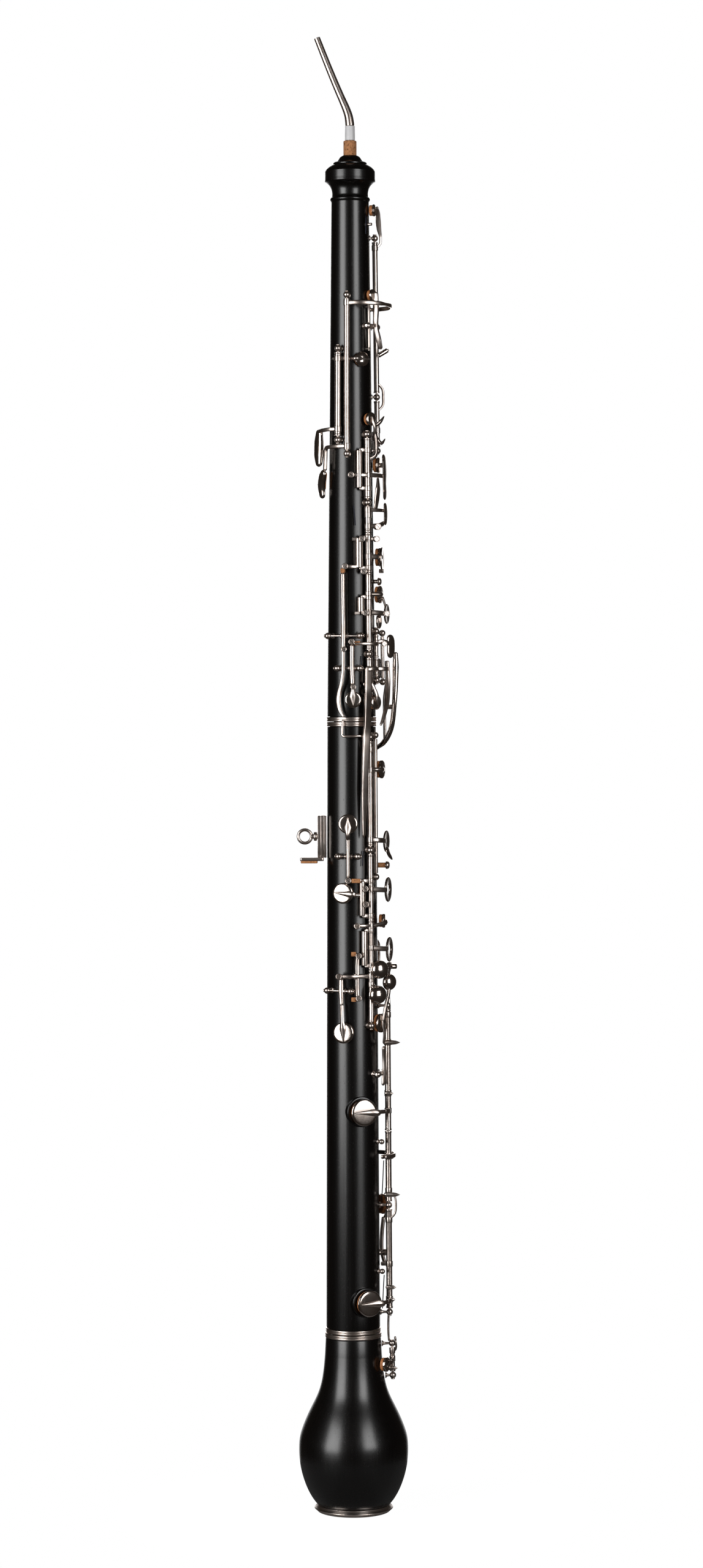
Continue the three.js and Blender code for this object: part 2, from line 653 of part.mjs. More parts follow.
function leftIndexKey() {
  const top = holes.leftTop;
  const hole = holes.leftIndex;
  const plateFoot = woodRadius(upper.foot + upper.span * hole.share) + keyLift * 1.9;
  const cupFoot = padFace(upper, hole) + padThickness + fitGap;
  return keyOn(upperLine, [
    tube(upperLine, upperStops[3], upperStops[4]),
    tube(upperLine, upperStops[4], upperStops[5]),
    sideBar(upperLine, 72.8, 0.41, 0.477),
    strip(upper, [[53, 1, 0.46], [36, 1.5, 0.468], [32, 1.45, 0.5], [38, 1.25, 0.52],
      [top.angle, 1.2, top.share]]),
    cupOf(upper, top),
    strip(upper, [[92, 1.05, 0.433], [72, 1.05, 0.433], [53, 1.1, 0.433], [28, 1.6, 0.433], [4, 1.9, 0.433]]),
    strip(upper, [[53, 1.1, 0.372], [28, 1.6, 0.372], [4, 1.9, 0.372]]),
    strip(upper, [[53, 1.1, 0.343], [28, 1.5, 0.345], [4, 1.85, 0.35]]),
    strip(upper, [[4, 1.9, 0.468], [3, 2, 0.43], [3, 1.95, 0.39], [4, 1.85, 0.345]], touchHalfWidth),
    cupOf(upper, hole),
    boss(upper, [10, 1, hole.share], cupFoot + cupHeight / 2, plateFoot, barRadius),
  ]);
}

// Cup under a finger plate, joined by a stalk, with the arm to its tube
function platedCup(joint, hole, place, radius, own) {
  const z = joint.foot + joint.span * hole.share;
  const foot = padFace(joint, hole) + padThickness + fitGap + cupHeight / 2;
  const head = woodRadius(z) + keyLift * place[1] + plateThickness / 2;
  return join([
    cupOf(joint, hole),
    plateOf(joint, place, radius),
    boss(joint, [hole.angle, 1, hole.share], foot, head, barRadius * 2),
    strip(joint, [[own, 1, hole.share], [(own + hole.angle) / 2, 1.4, hole.share],
      [hole.angle, 1.5, hole.share]]),
  ]);
}

function leftMiddleKey() {
  return keyOn(upperLine, [
    tube(upperLine, upperStops[2], upperStops[3]),
    platedCup(upper, holes.leftMiddle, [8, 1.65, 0.29], 7.2, 53),
    sideBar(upperLine, 76, 0.27, 0.323),
    strip(upper, [[76, 1, 0.272], [90, 1.25, 0.272], [102, 1.35, 0.274]]),
  ]);
}

function leftRingKey() {
  return keyOn(upperLine, [
    tube(upperLine, upperStops[1], upperStops[2]),
    cupOf(upper, holes.leftRing),
    strip(upper, [[53, 1, 0.224], [34, 1.35, 0.224], [14, 1.5, 0.224]]),
    sideBar(upperLine, 70, 0.192, 0.219),
    strip(upper, [[53, 1, 0.192], [30, 1.6, 0.192], [4, 2.1, 0.192]]),
    strip(upper, [[12, 1.55, 0.22], [8, 1.9, 0.206], [6, 2.1, 0.196]]),
    plateOf(upper, [4, 1.95, 0.19], 6.1),
  ]);
}

function bridgeVentKey() {
  return keyOn(upperLine, [
    tube(upperLine, upperStops[0], upperStops[1]),
    cupOf(upper, holes.bridgeVent),
    strip(upper, [[53, 1, 0.074], [44, 1.45, 0.062], [40, 1.55, 0.046], [38, 1.5, 0.034]]),
    strip(upper, [[53, 1, 0.066], [60, 1, 0.066], [67, 1, 0.066]]),
  ]);
}

function sideTouchKey() {
  return keyOn(leftLine, [
    tube(leftLine, leftStops[1], leftStops[2]),
    strip(upper, [[33, 1, 0.137], [42, 1.9, 0.137], [54, 2.1, 0.137], [70, 1.95, 0.137], [89, 1.75, 0.137]]),
    strip(upper, [[33, 1, 0.14], [22, 2, 0.141], [9, 2.75, 0.136]]),
    strip(upper, [[8, 2.8, 0.152], [8, 2.85, 0.132], [8, 2.75, 0.113]], barRadius * 2),
  ]);
}

function longForkLever() {
  return keyOn(leftLine, [
    tube(leftLine, leftStops[0], leftStops[1]),
    strip(upper, [[-34, 1.6, 0.093], [-16, 1.4, 0.093], [8, 1.2, 0.093], [33, 1, 0.093],
      [43, 1.9, 0.093], [54, 2.1, 0.093], [64, 1.95, 0.09]]),
    strip(upper, [[65, 1.95, 0.098], [66, 1.9, 0.03], [66, 1.85, -0.03], [67, 1.65, -0.12],
      [68, 1.35, -0.203]], bladeHalfWidth),
    strip(upper, [[-36, 1.65, 0.112], [-36, 1.7, 0.093], [-36, 1.6, 0.075]], touchHalfWidth * 0.7),
  ]);
}

function bridgeLever() {
  return keyOn(bridgePivot, [
    hub(bridgePivot, 105.5, tubeRadius * 1.5),
    strip(upper, [[107, 1, 0.266], [106.5, 1, 0.21], [105.5, 1, 0.151], [105.5, 1.3, 0.11],
      [105.5, 1.3, 0.088], [109, 1.2, 0.066], [114.5, 1, 0.05], [116, 1, 0.036], [112, 1, 0.02],
      [104, 1, 0.008]]),
  ]);
}

function sideKey() {
  return keyOn(sidePivot, [
    hub(sidePivot, 89, tubeRadius * 1.5),
    strip(upper, [[89, 1.1, 0.139], [89, 1.1, 0.094], [88, 1.15, 0.06], [87, 1.15, 0.039]]),
    cupOf(upper, holes.side),
  ]);
}

function rightIndexKey() {
  return keyOn(lowerLine, [
    tube(lowerLine, lowerStops[3], lowerStops[4]),
    cupOf(lower, holes.rightIndex),
    strip(lower, [[53, 1, 0.922], [34, 1.4, 0.922], [16, 1.5, 0.922]]),
    strip(lower, [[53, 1, 0.808], [28, 1.3, 0.806], [6, 1.5, 0.804]]),
    plateOf(lower, [4, 1.45, 0.804], 6.6),
    strip(lower, [[53, 1, 0.955], [72, 1, 0.957], [92, 1, 0.967], [103, 0.85, 0.982], [104, 0.62, 1.002]]),
  ]);
}

function ventKey() {
  return keyOn(ventPivot, [
    hub(ventPivot, 97, tubeRadius * 1.5),
    strip(lower, [[97, 1.15, 0.834], [97, 1.2, 0.805], [97, 1.2, 0.781], [97, 1.05, 0.743]]),
    cupOf(lower, holes.vent),
  ]);
}

function rightMiddleKey() {
  return keyOn(lowerLine, [
    tube(lowerLine, lowerStops[2], lowerStops[3]),
    sideBar(lowerLine, 71, 0.684, 0.741),
    fingerRing(lower, [3, 1.75, 0.725], 7.5, 3.3),
    strip(lower, [[53, 1, 0.727], [34, 1.5, 0.726], [20, 2.1, 0.725]]),
    strip(lower, [[71, 1, 0.718], [88, 1.15, 0.719], [107.6, 1.2, 0.721]]),
    cupOf(lower, holes.forked),
  ]);
}

function rightRingKey() {
  return keyOn(lowerLine, [
    tube(lowerLine, lowerStops[1], lowerStops[2]),
    sideBar(lowerLine, 67, 0.603, 0.66),
    fingerRing(lower, [3, 1.9, 0.627], 7.5, 3.3),
    strip(lower, [[53, 1, 0.632], [34, 1.6, 0.63], [20, 2.25, 0.629]]),
    strip(lower, [[53, 1, 0.666], [32, 1.45, 0.67], [8, 1.5, 0.674]]),
    cupOf(lower, holes.rightRing),
  ]);
}

function flatTouchKey() {
  return keyOn(lowerLine, [
    tube(lowerLine, lowerStops[0], lowerStops[1]),
    strip(lower, [[53, 1, 0.586], [72, 1.1, 0.586], [92, 1.5, 0.586], [112, 1.6, 0.586]]),
    strip(lower, [[79, 1, 0.588], [80, 1.05, 0.57], [79, 1, 0.553]]),
    strip(lower, [[53, 1, 0.572], [52, 1.7, 0.568], [49, 2.3, 0.56]]),
    domeOf(lower, [49, 2.2, 0.556], 5.3),
  ]);
}

function flatKey() {
  return keyOn(flatPivot, [
    hub(flatPivot, 110, tubeRadius * 1.5),
    strip(lower, [[111.4, 1.05, 0.583], [110.5, 1.15, 0.562], [109, 1.2, 0.53], [107, 1.15, 0.494]]),
    cupOf(lower, holes.flat),
  ]);
}

function sharpKey() {
  return keyOn(sharpPivot, [
    hub(sharpPivot, 20, tubeRadius * 1.5),
    strip(lower, [[28, 1.5, 0.508], [25, 1.45, 0.48], [20, 1.3, 0.45], [19, 1.25, 0.425], [19, 1.1, 0.405]]),
    cupOf(lower, holes.sharp),
    strip(lower, [[28, 1.55, 0.51], [24, 1.9, 0.535], [17, 2.25, 0.556], [13, 2.35, 0.57]]),
    domeOf(lower, [12, 2.15, 0.574], 4.7),
  ]);
}

function lowCKey() {
  const arm = holes.lowC;
  return keyOn(footLine, [
    tube(footLine, footStops[2], footStops[3]),
    cupOf(lower, arm),
    strip(lower, [[4, 1.65, 0.363], [24, 2.15, 0.364], [48, 2.1, 0.365], [arm.angle, 1.95, arm.share]]),
    strip(lower, [[4, 1.65, 0.52], [-8, 2, 0.526], [-13, 2, 0.55], [-10, 2, 0.588], [4, 2.25, 0.6015],
      [24, 2.4, 0.603], [42, 2.4, 0.6]]),
    domeOf(lower, [45, 2.2, 0.597], 5.3),
  ]);
}

function lowBKey() {
  const arm = holes.lowB;
  return keyOn(footLine, [
    tube(footLine, footStops[0], footStops[1]),
    tube(footLine, footStops[1], footStops[2]),
    strip(lower, [[4, 1.65, 0.232], [4, 2.7, 0.222], [4, 2.9, 0.208], [4, 2.7, 0.194], [4, 1.65, 0.184]]),
    cupOf(lower, arm),
    strip(lower, [[4, 1.65, 0.054], [24, 2.15, 0.054], [44, 2.1, 0.054], [arm.angle, 1.95, arm.share]]),
    strip(lower, [[4, 1.65, 0.047], [-8, 1.7, 0.044], [-10, 1.6, 0.03], [-10, 1.5, 0], [-10, 1.45, -0.018]]),
    strip(lower, [[4, 1.65, 0.29], [20, 1.6, 0.29], [34, 1.4, 0.29]]),
    strip(lower, [[4, 1.65, 0.112], [-10, 1.15, 0.11], [-25, 0.75, 0.108]]),
  ]);
}

function lowVentKey() {
  return keyOn(lowVentPivot, [
    hub(lowVentPivot, -28, tubeRadius * 1.5),
    strip(lower, [[-27, 1.5, 0.206], [-27, 1.5, 0.178], [-28, 1.1, 0.158], [-28, 1.05, 0.128],
      [-27, 1.55, 0.108]]),
    cupOf(lower, holes.lowVent),
  ]);
}

function leftLever() {
  return keyOn(leftLeverLine, [
    tube(leftLeverLine, leftLeverStops[0], leftLeverStops[1]),
    tube(leftLeverLine, leftLeverStops[1], leftLeverStops[2]),
    strip(lower, [[-46, 1, 0.644], [-46, 2.1, 0.634], [-46, 2.2, 0.62], [-46, 2.1, 0.606], [-46, 1, 0.596]]),
    strip(lower, [[-46, 1, 0.29], [-30, 1.9, 0.29], [-12, 2.6, 0.29], [6, 2.75, 0.29], [22, 2.45, 0.29],
      [34, 2.2, 0.29]]),
    strip(lower, [[-46, 1, 0.952], [-36, 1.45, 0.958], [-25, 2, 0.966], [-16, 2.9, 0.988], [-9, 3.35, 1.03],
      [-6, 3.75, 1.09], [-6, 3.85, 1.114]], barRadius, barRadius * 0.8),
    strip(lower, [[-24, 2.1, 0.967], [-20, 1.9, 1.005], [-15, 1.75, 1.039], [-10, 2.05, 1.068], [-9, 2, 1.1]],
      barRadius * 0.8, barRadius * 0.6),
  ]);
}

function bellKey() {
  return keyOn(bellLine, [
    tube(bellLine, bellStops[0], bellStops[1]),
    cupOf(bell, holes.bell),
    strip(bell, [[0, 1.6, 0.85], [12, 1.9, 0.845], [24, 1.5, 0.83]]),
    strip(bell, [[0, 1.7, 0.895], [-6, 2.5, 0.9], [-12, 2.65, 0.93], [-12, 2.6, 0.965]]),
  ]);
}

// Thumb rest: a plate on the wood with a rail, and a slide with its shelf that runs on the rail
const thumbAngle = 180;
const thumbShare = 0.812;
const thumbZ = lower.foot + lower.span * thumbShare;
const thumbFace = woodRadius(thumbZ - thumbPlateLength / 2) + fitGap;
const railFace = thumbFace + thumbPlateThickness;
const slideFace = railFace + fitGap;
const slideBack = slideFace + slideDepth;

// Block behind the wood, from one distance to another along the thumbs' side
function thumbBlock(from, to, halfWidth, foot, top) {
  const block = new THREE.BoxGeometry(to - from, halfWidth * 2, top - foot);
  const centre = polar((from + to) / 2, thumbAngle, (foot + top) / 2);
  block.translate(centre.x, centre.y, centre.z);
  return solid(block);
}

function thumbPlate() {
  const [foot, top] = [thumbZ - thumbPlateLength / 2, thumbZ + thumbPlateLength / 2];
  return join([
    thumbBlock(thumbFace, railFace, thumbPlateHalfWidth, foot, top),
    thumbBlock(railFace - fitGap, railFace + railDepth, railHalfWidth, foot, top),
  ]);
}

function thumbSlide() {
  const [foot, top] = [thumbZ - thumbPlateLength / 2, thumbZ + thumbPlateLength / 2];
  const way = thumbBlock(slideFace - cutOverrun, railFace + railDepth + fitGap, railHalfWidth + fitGap,
    foot - shelfThickness - cutOverrun, top + cutOverrun);
  const stem = bar(polar(railFace, thumbAngle, thumbZ), polar(slideBack + cutOverrun, thumbAngle, thumbZ),
    strapStemRadius + fitGap, postSides);
  return join([
    thumbBlock(slideFace, slideBack, slideHalfWidth, foot, top),
    thumbBlock(slideFace, slideFace + shelfReach, shelfHalfWidth, foot - shelfThickness, foot + fitGap),
  ]).subtract(way).subtract(stem);
}

function thumbCork() {
  const top = thumbZ - thumbPlateLength / 2 - shelfThickness - fitGap;
  return thumbBlock(slideBack, slideFace + shelfReach - shelfCorkMargin, shelfHalfWidth - shelfCorkMargin,
    top - shelfCorkThickness, top);
}

function strapRing() {
  const nutFace = slideBack + fitGap;
  const stemEnd = railFace + railDepth + fitGap * 2;
  const centre = nutFace + strapNutHeight + strapStemLength + strapRingRadius;
  const ring = new THREE.TorusGeometry(strapRingRadius, strapWireRadius, rodSides, discSides);
  const place = (distance) => polar(distance, thumbAngle, thumbZ);
  return join([
    stand(ring.rotateX(Math.PI / 2), place(centre), upright),
    bar(place(stemEnd), place(centre - strapRingRadius), strapStemRadius, postSides),
    bar(place(nutFace), place(nutFace + strapNutHeight), strapNutRadius, postSides),
  ]);
}

const finishes = {
  wood: { color: 0x151210, roughness: 0.42, metalness: 0 },
  silver: { color: 0xd6d4d0, roughness: 0.16, metalness: 1 },
  cork: { color: 0xb58452, roughness: 0.9, metalness: 0 },
  white: { color: 0xf0efeb, roughness: 0.55, metalness: 0 },
};

const englishHorn = new THREE.Group();

function place(name, piece, finish) {
  const { vertProperties, triVerts } = piece.getMesh();
  const geometry = new THREE.BufferGeometry();
  geometry.setAttribute('position', new THREE.BufferAttribute(vertProperties, 3));
  geometry.setIndex(new THREE.BufferAttribute(triVerts, 1));
  geometry.computeVertexNormals();
  const mesh = new THREE.Mesh(geometry, new THREE.MeshStandardMaterial(finishes[finish]));
  mesh.name = name;
  englishHorn.add(mesh);
}

place('bell', bellWood(), 'wood');
place('bell_rim_ring', rimRing(), 'silver');
place('bell_socket_ring', jointRing(bellNeckRadius, bellLength - fitGap / 2 - ringHeight), 'silver');
place('lower_joint', lowerWood(), 'wood');
place('lower_joint_foot_ring', jointRing(footRadius, bellLength + fitGap / 2), 'silver');
place('lower_joint_socket_ring', jointRing(seamRadius, upper.foot - fitGap / 2 - ringHeight), 'silver');
place('foot_tenon_cork', tenonCork(tenonRadius, bellLength - tenonLength, bellLength), 'cork');
place('upper_joint', upperWood(), 'wood');
place('upper_joint_foot_ring', jointRing(seamRadius, upper.foot + fitGap / 2), 'silver');
place('middle_tenon_cork', tenonCork(middleTenonRadius, upper.foot - tenonLength, upper.foot), 'cork');
place('bocal_tube', bocalTube(), 'silver');
place('bocal_sleeve', bocalSleeve(), 'white');
place('bocal_cork', bocalCork(), 'cork');
place('thumb_rest_plate', thumbPlate(), 'silver');
place('thumb_rest_slide', thumbSlide(), 'silver');
place('thumb_rest_cork', thumbCork(), 'cork');
place('strap_ring_screw', strapRing(), 'silver');

place('front_trill_posts', postsOf(trillLine, trillStops), 'silver');
place('first_octave_posts', postsOf(firstOctaveLine, firstOctaveStops), 'silver');
place('second_octave_posts', postsOf(secondOctaveLine, secondOctaveStops), 'silver');
place('upper_stack_posts', postsOf(upperLine, upperStops), 'silver');
place('left_hand_posts', postsOf(leftLine, leftStops), 'silver');
place('lower_stack_posts', postsOf(lowerLine, lowerStops), 'silver');
place('left_lever_posts', postsOf(leftLeverLine, leftLeverStops), 'silver');
place('foot_posts', postsOf(footLine, footStops), 'silver');
place('bell_posts', postsOf(bellLine, bellStops), 'silver');
place('rocker_posts', crossPosts(rockerPivot), 'silver');
place('bridge_lever_posts', crossPosts(bridgePivot), 'silver');
place('side_vent_posts', crossPosts(sidePivot), 'silver');
place('forked_vent_posts', crossPosts(ventPivot), 'silver');
place('e_flat_posts', crossPosts(flatPivot), 'silver');
place('c_sharp_posts', crossPosts(sharpPivot), 'silver');
place('low_vent_posts', crossPosts(lowVentPivot), 'silver');

place('front_trill_key', trillKey(), 'silver');
place('rocker_key', rockerKey(), 'silver');
place('first_octave_key', firstOctaveKey(), 'silver');
place('second_octave_key', secondOctaveKey(), 'silver');
place('left_index_key', leftIndexKey(), 'silver');
place('left_middle_key', leftMiddleKey(), 'silver');
place('left_ring_key', leftRingKey(), 'silver');
place('bridge_vent_key', bridgeVentKey(), 'silver');
place('side_touch_key', sideTouchKey(), 'silver');
place('long_fork_lever', longForkLever(), 'silver');
place('bridge_lever', bridgeLever(), 'silver');
place('side_vent_key', sideKey(), 'silver');
place('right_index_key', rightIndexKey(), 'silver');
place('forked_vent_key', ventKey(), 'silver');
place('right_middle_key', rightMiddleKey(), 'silver');
place('right_ring_key', rightRingKey(), 'silver');
place('e_flat_touch_key', flatTouchKey(), 'silver');
place('e_flat_key', flatKey(), 'silver');
place('c_sharp_key', sharpKey(), 'silver');
place('low_c_key', lowCKey(), 'silver');
place('low_b_key', lowBKey(), 'silver');
place('low_vent_key', lowVentKey(), 'silver');
place('left_hand_lever', leftLever(), 'silver');
place('bell_key', bellKey(), 'silver');
place('left_middle_pad', padOf(upper, holes.leftMiddle), 'cork');
place('right_index_pad', padOf(lower, holes.rightIndex), 'cork');
place('low_c_pad', padOf(lower, holes.lowC), 'cork');

export default englishHorn;
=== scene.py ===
import math
import bmesh
import bpy
import numpy as np
from mathutils import Matrix, Vector


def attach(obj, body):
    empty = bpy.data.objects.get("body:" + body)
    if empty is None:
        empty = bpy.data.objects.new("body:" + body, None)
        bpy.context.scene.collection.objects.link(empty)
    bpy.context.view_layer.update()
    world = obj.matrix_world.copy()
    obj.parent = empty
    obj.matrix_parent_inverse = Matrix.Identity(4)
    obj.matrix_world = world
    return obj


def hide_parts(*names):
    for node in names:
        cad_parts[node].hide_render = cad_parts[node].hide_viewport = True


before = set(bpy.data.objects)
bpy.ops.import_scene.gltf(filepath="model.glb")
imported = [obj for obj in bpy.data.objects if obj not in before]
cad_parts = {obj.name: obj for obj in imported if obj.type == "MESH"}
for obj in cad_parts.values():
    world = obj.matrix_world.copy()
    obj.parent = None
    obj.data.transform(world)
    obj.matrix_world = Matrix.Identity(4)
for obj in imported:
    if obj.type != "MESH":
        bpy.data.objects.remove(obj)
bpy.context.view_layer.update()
print("frame loaded")

# Lengths here are in millimetres and turn into metres when a mesh is made.
# Angles go round the body in degrees, from the front (+X) towards the camera's side (-Y).
millimetre = 0.001
bellTop, middleSeam = 105.3, 465.6
joints = {"bell": (0.0, bellTop), "lower": (bellTop, 360.3), "upper": (middleSeam, 334.4)}  # foot and length
wood = {
    "tall": 800.0, "bellRadius": 32.2, "bellNeck": 16.3, "foot": 15.9, "seam": 14.35, "neck": 11.2,
    "headLength": 27.6, "gap": 0.15, "ring": 2.6, "shoulder": 0.3,
}
keyWork = {
    "lift": 3.4, "tube": 1.55, "rod": 0.7, "ball": 2.0, "arm": 1.25, "armThick": 0.6, "armRise": 0.2,
    "pad": 1.7, "cup": 1.5, "plate": 1.2, "dome": 3.3, "gap": 0.3, "open": 1.1, "crown": 0.28,
    "chimney": 1.5, "hub": 2.3, "collar": 0.9, "collarRise": 0.2, "collarEase": 0.35,
}
headFoot = wood["tall"] - wood["headLength"]
ringSeat = wood["ring"] + wood["shoulder"]
bellOutline = np.array([
    [0.672, 0.041], [0.71, 0.055], [0.888, 0.155], [0.978, 0.257], [1, 0.361], [0.98, 0.42],
    [0.938, 0.463], [0.792, 0.567], [0.634, 0.67], [0.556, 0.773], [0.522, 0.877],
]) * [wood["bellRadius"], bellTop]
bellOutline = np.vstack([bellOutline, [wood["bellNeck"], bellTop]])


# Outside radius of the wood at a height: the bell by its outline, the joints by a straight taper
def woodRadius(z):
    if z >= middleSeam:
        return np.interp(z, [middleSeam, headFoot], [wood["seam"], wood["neck"]])
    if z >= bellTop:
        return np.interp(z, [bellTop, middleSeam], [wood["foot"], wood["seam"]])
    return np.interp(z, bellOutline[:, 1], bellOutline[:, 0])


# Vectors divided by their length
def unit(v):
    return v / np.maximum(np.linalg.norm(v, axis=-1, keepdims=True), 1e-12)


# Direction straight out from the body at an angle
def outward(angle):
    turn = math.radians(angle)
    return np.array([math.cos(turn), -math.sin(turn), 0.0])


# Point at a radius from the axis, an angle and a height
def polar(radius, angle, z):
    return outward(angle) * radius + [0, 0, z]


# Height at a share of a joint's length: its foot and that share of its span
def heightOf(joint, share):
    foot, span = joints[joint]
    return foot + span * share


# Point above the wood: angle, lift in shares of the usual key height, height in shares of the joint
def spot(joint, angle, lift, share):
    z = heightOf(joint, share)
    return polar(woodRadius(z) + keyWork["lift"] * lift, angle, z)


# Smooth curve through points: centripetal Catmull-Rom, with a few samples to each span
def spline(points, steps=12):
    p = np.asarray(points, float)
    q = np.vstack([2 * p[0] - p[1], p, 2 * p[-1] - p[-2]])
    spans = []
    for i in range(len(p) - 1):
        a, b, c, d = q[i:i + 4]
        t1 = np.linalg.norm(b - a) ** 0.5
        t2 = t1 + np.linalg.norm(c - b) ** 0.5
        t3 = t2 + np.linalg.norm(d - c) ** 0.5
        t = np.linspace(t1, t2, steps, endpoint=False)[:, None]
        ab = a + (b - a) * t / t1
        bc = b + (c - b) * (t - t1) / (t2 - t1)
        cd = c + (d - c) * (t - t2) / (t3 - t2)
        abc = ab + (bc - ab) * t / t2
        bcd = bc + (cd - bc) * (t - t1) / (t3 - t1)
        spans.append(abc + (bcd - abc) * (t - t1) / (t2 - t1))
    return np.vstack(spans + [p[-1:]])


# Smoothest curve through points: a natural cubic over the distance between them
def smoothCurve(points, steps):
    p = np.asarray(points, float)
    t = np.concatenate([[0], np.cumsum(np.linalg.norm(np.diff(p, axis=0), axis=1))])
    h = np.diff(t)
    system = np.eye(len(p))
    change = np.zeros_like(p)
    inner = np.arange(1, len(p) - 1)
    system[inner, inner - 1] = h[:-1]
    system[inner, inner] = 2 * (h[:-1] + h[1:])
    system[inner, inner + 1] = h[1:]
    slope = np.diff(p, axis=0) / h[:, None]
    change[1:-1] = 6 * np.diff(slope, axis=0)
    bend = np.linalg.solve(system, change)
    share = np.linspace(0, 1, steps, endpoint=False)
    i = np.repeat(np.arange(len(h)), steps)
    s = np.tile(share, len(h))[:, None]
    span = h[i][:, None]
    curve = (p[i] * (1 - s) + p[i + 1] * s
             - span ** 2 / 6 * ((s - s ** 3) * bend[i + 1] + (1 - s - (1 - s) ** 3) * bend[i]))
    return np.vstack([curve, p[-1:]])


# Closed skin over rings of points (rows of a grid), with a flat face at both ends
def skin(rings):
    n, m = rings.shape[:2]
    i = np.arange(n - 1)[:, None] * m
    k = np.arange(m)[None, :]
    after = (k + 1) % m
    quads = np.stack([i + k, i + after, i + m + after, i + m + k], -1).reshape(-1, 4)
    ends = [list(range(m - 1, -1, -1)), list(range((n - 1) * m, n * m))]
    return rings.reshape(-1, 3), quads.tolist() + ends


# Corners of a profile rounded by arcs: each corner turns into a short quadratic curve
def rounded(profile, radius, steps, loop=False):
    p = np.asarray(profile, float)
    size = np.broadcast_to(np.asarray(radius, float), (len(p),))
    made = []
    for i in range(len(p)):
        if not loop and i in (0, len(p) - 1):
            made.append(p[i:i + 1])
            continue
        before, here, then = p[i - 1], p[i], p[(i + 1) % len(p)]
        cut = min(size[i], np.linalg.norm(before - here) * 0.45, np.linalg.norm(then - here) * 0.45)
        if cut < 0.01:
            made.append(p[i:i + 1])
            continue
        start = here + unit(before - here) * cut
        end = here + unit(then - here) * cut
        t = np.linspace(0, 1, steps + 1)[:, None]
        made.append(start * (1 - t) ** 2 + here * 2 * t * (1 - t) + end * t ** 2)
    return np.vstack(made)


# Closed skin over rings that come back round to the first, such as a tube with its bore
def loopSkin(rings):
    n, m = rings.shape[:2]
    i, k = np.arange(n)[:, None], np.arange(m)[None, :]
    up, after = (i + 1) % n, (k + 1) % m
    quads = np.stack([i * m + k, i * m + after, up * m + after, up * m + k], -1)
    return rings.reshape(-1, 3), quads.reshape(-1, 4).tolist()


# Points of a circle of radius one: the cosine and sine of even turns
def circleOf(around):
    turn = np.linspace(0, 2 * np.pi, around, endpoint=False)
    return np.stack([np.cos(turn), np.sin(turn)], -1)


# Turned shape: a profile of radius and height carried round +Z; it starts and ends on the axis
def lathe(profile, around):
    p = np.asarray(profile, float)
    rings = np.empty((len(p) - 2, around, 3))
    rings[..., :2] = p[1:-1, None, None, 0] * circleOf(around)
    rings[..., 2] = p[1:-1, None, 1]
    verts, faces = skin(rings)
    first, last = len(verts), len(verts) + 1
    k = np.arange(around)
    after = (k + 1) % around
    high = (len(p) - 3) * around
    fans = np.vstack([
        np.stack([np.full(around, first), after, k], -1),
        np.stack([np.full(around, last), high + k, high + after], -1),
    ])
    poles = np.array([[0, 0, p[0, 1]], [0, 0, p[-1, 1]]])
    return np.vstack([verts, poles]), faces[:-2] + fans.tolist()


# Turned ring: a closed profile off the axis carried round +Z
def ringLathe(profile, around):
    p = np.asarray(profile, float)
    rings = np.empty((len(p), around, 3))
    rings[..., :2] = p[:, None, None, 0] * circleOf(around)
    rings[..., 2] = p[:, None, 1]
    return loopSkin(rings)


# Turns a shape made round +Z to a direction and sets it at a place
def stand(shape, place, direction):
    d = unit(np.asarray(direction, float))
    side = np.array([1.0, 0, 0]) if abs(d[0]) < 0.9 else np.array([0, 1.0, 0])
    x = unit(np.cross(side, d))
    y = np.cross(d, x)
    verts, faces = shape
    return verts @ np.stack([x, y, d]) + place, faces


# Stands a shape straight out from the body, from a radius at an angle and a height
def standOut(shape, radius, angle, z):
    return stand(shape, polar(radius, angle, z), outward(angle))


# Round bar from one point to another, with eased rims
def bar(a, b, radius, edge, around):
    a, b = np.asarray(a, float), np.asarray(b, float)
    length = np.linalg.norm(b - a)
    profile = rounded([[0, 0], [radius, 0], [radius, length], [0, length]], edge, 3)
    return stand(lathe(profile, around), a, b - a)


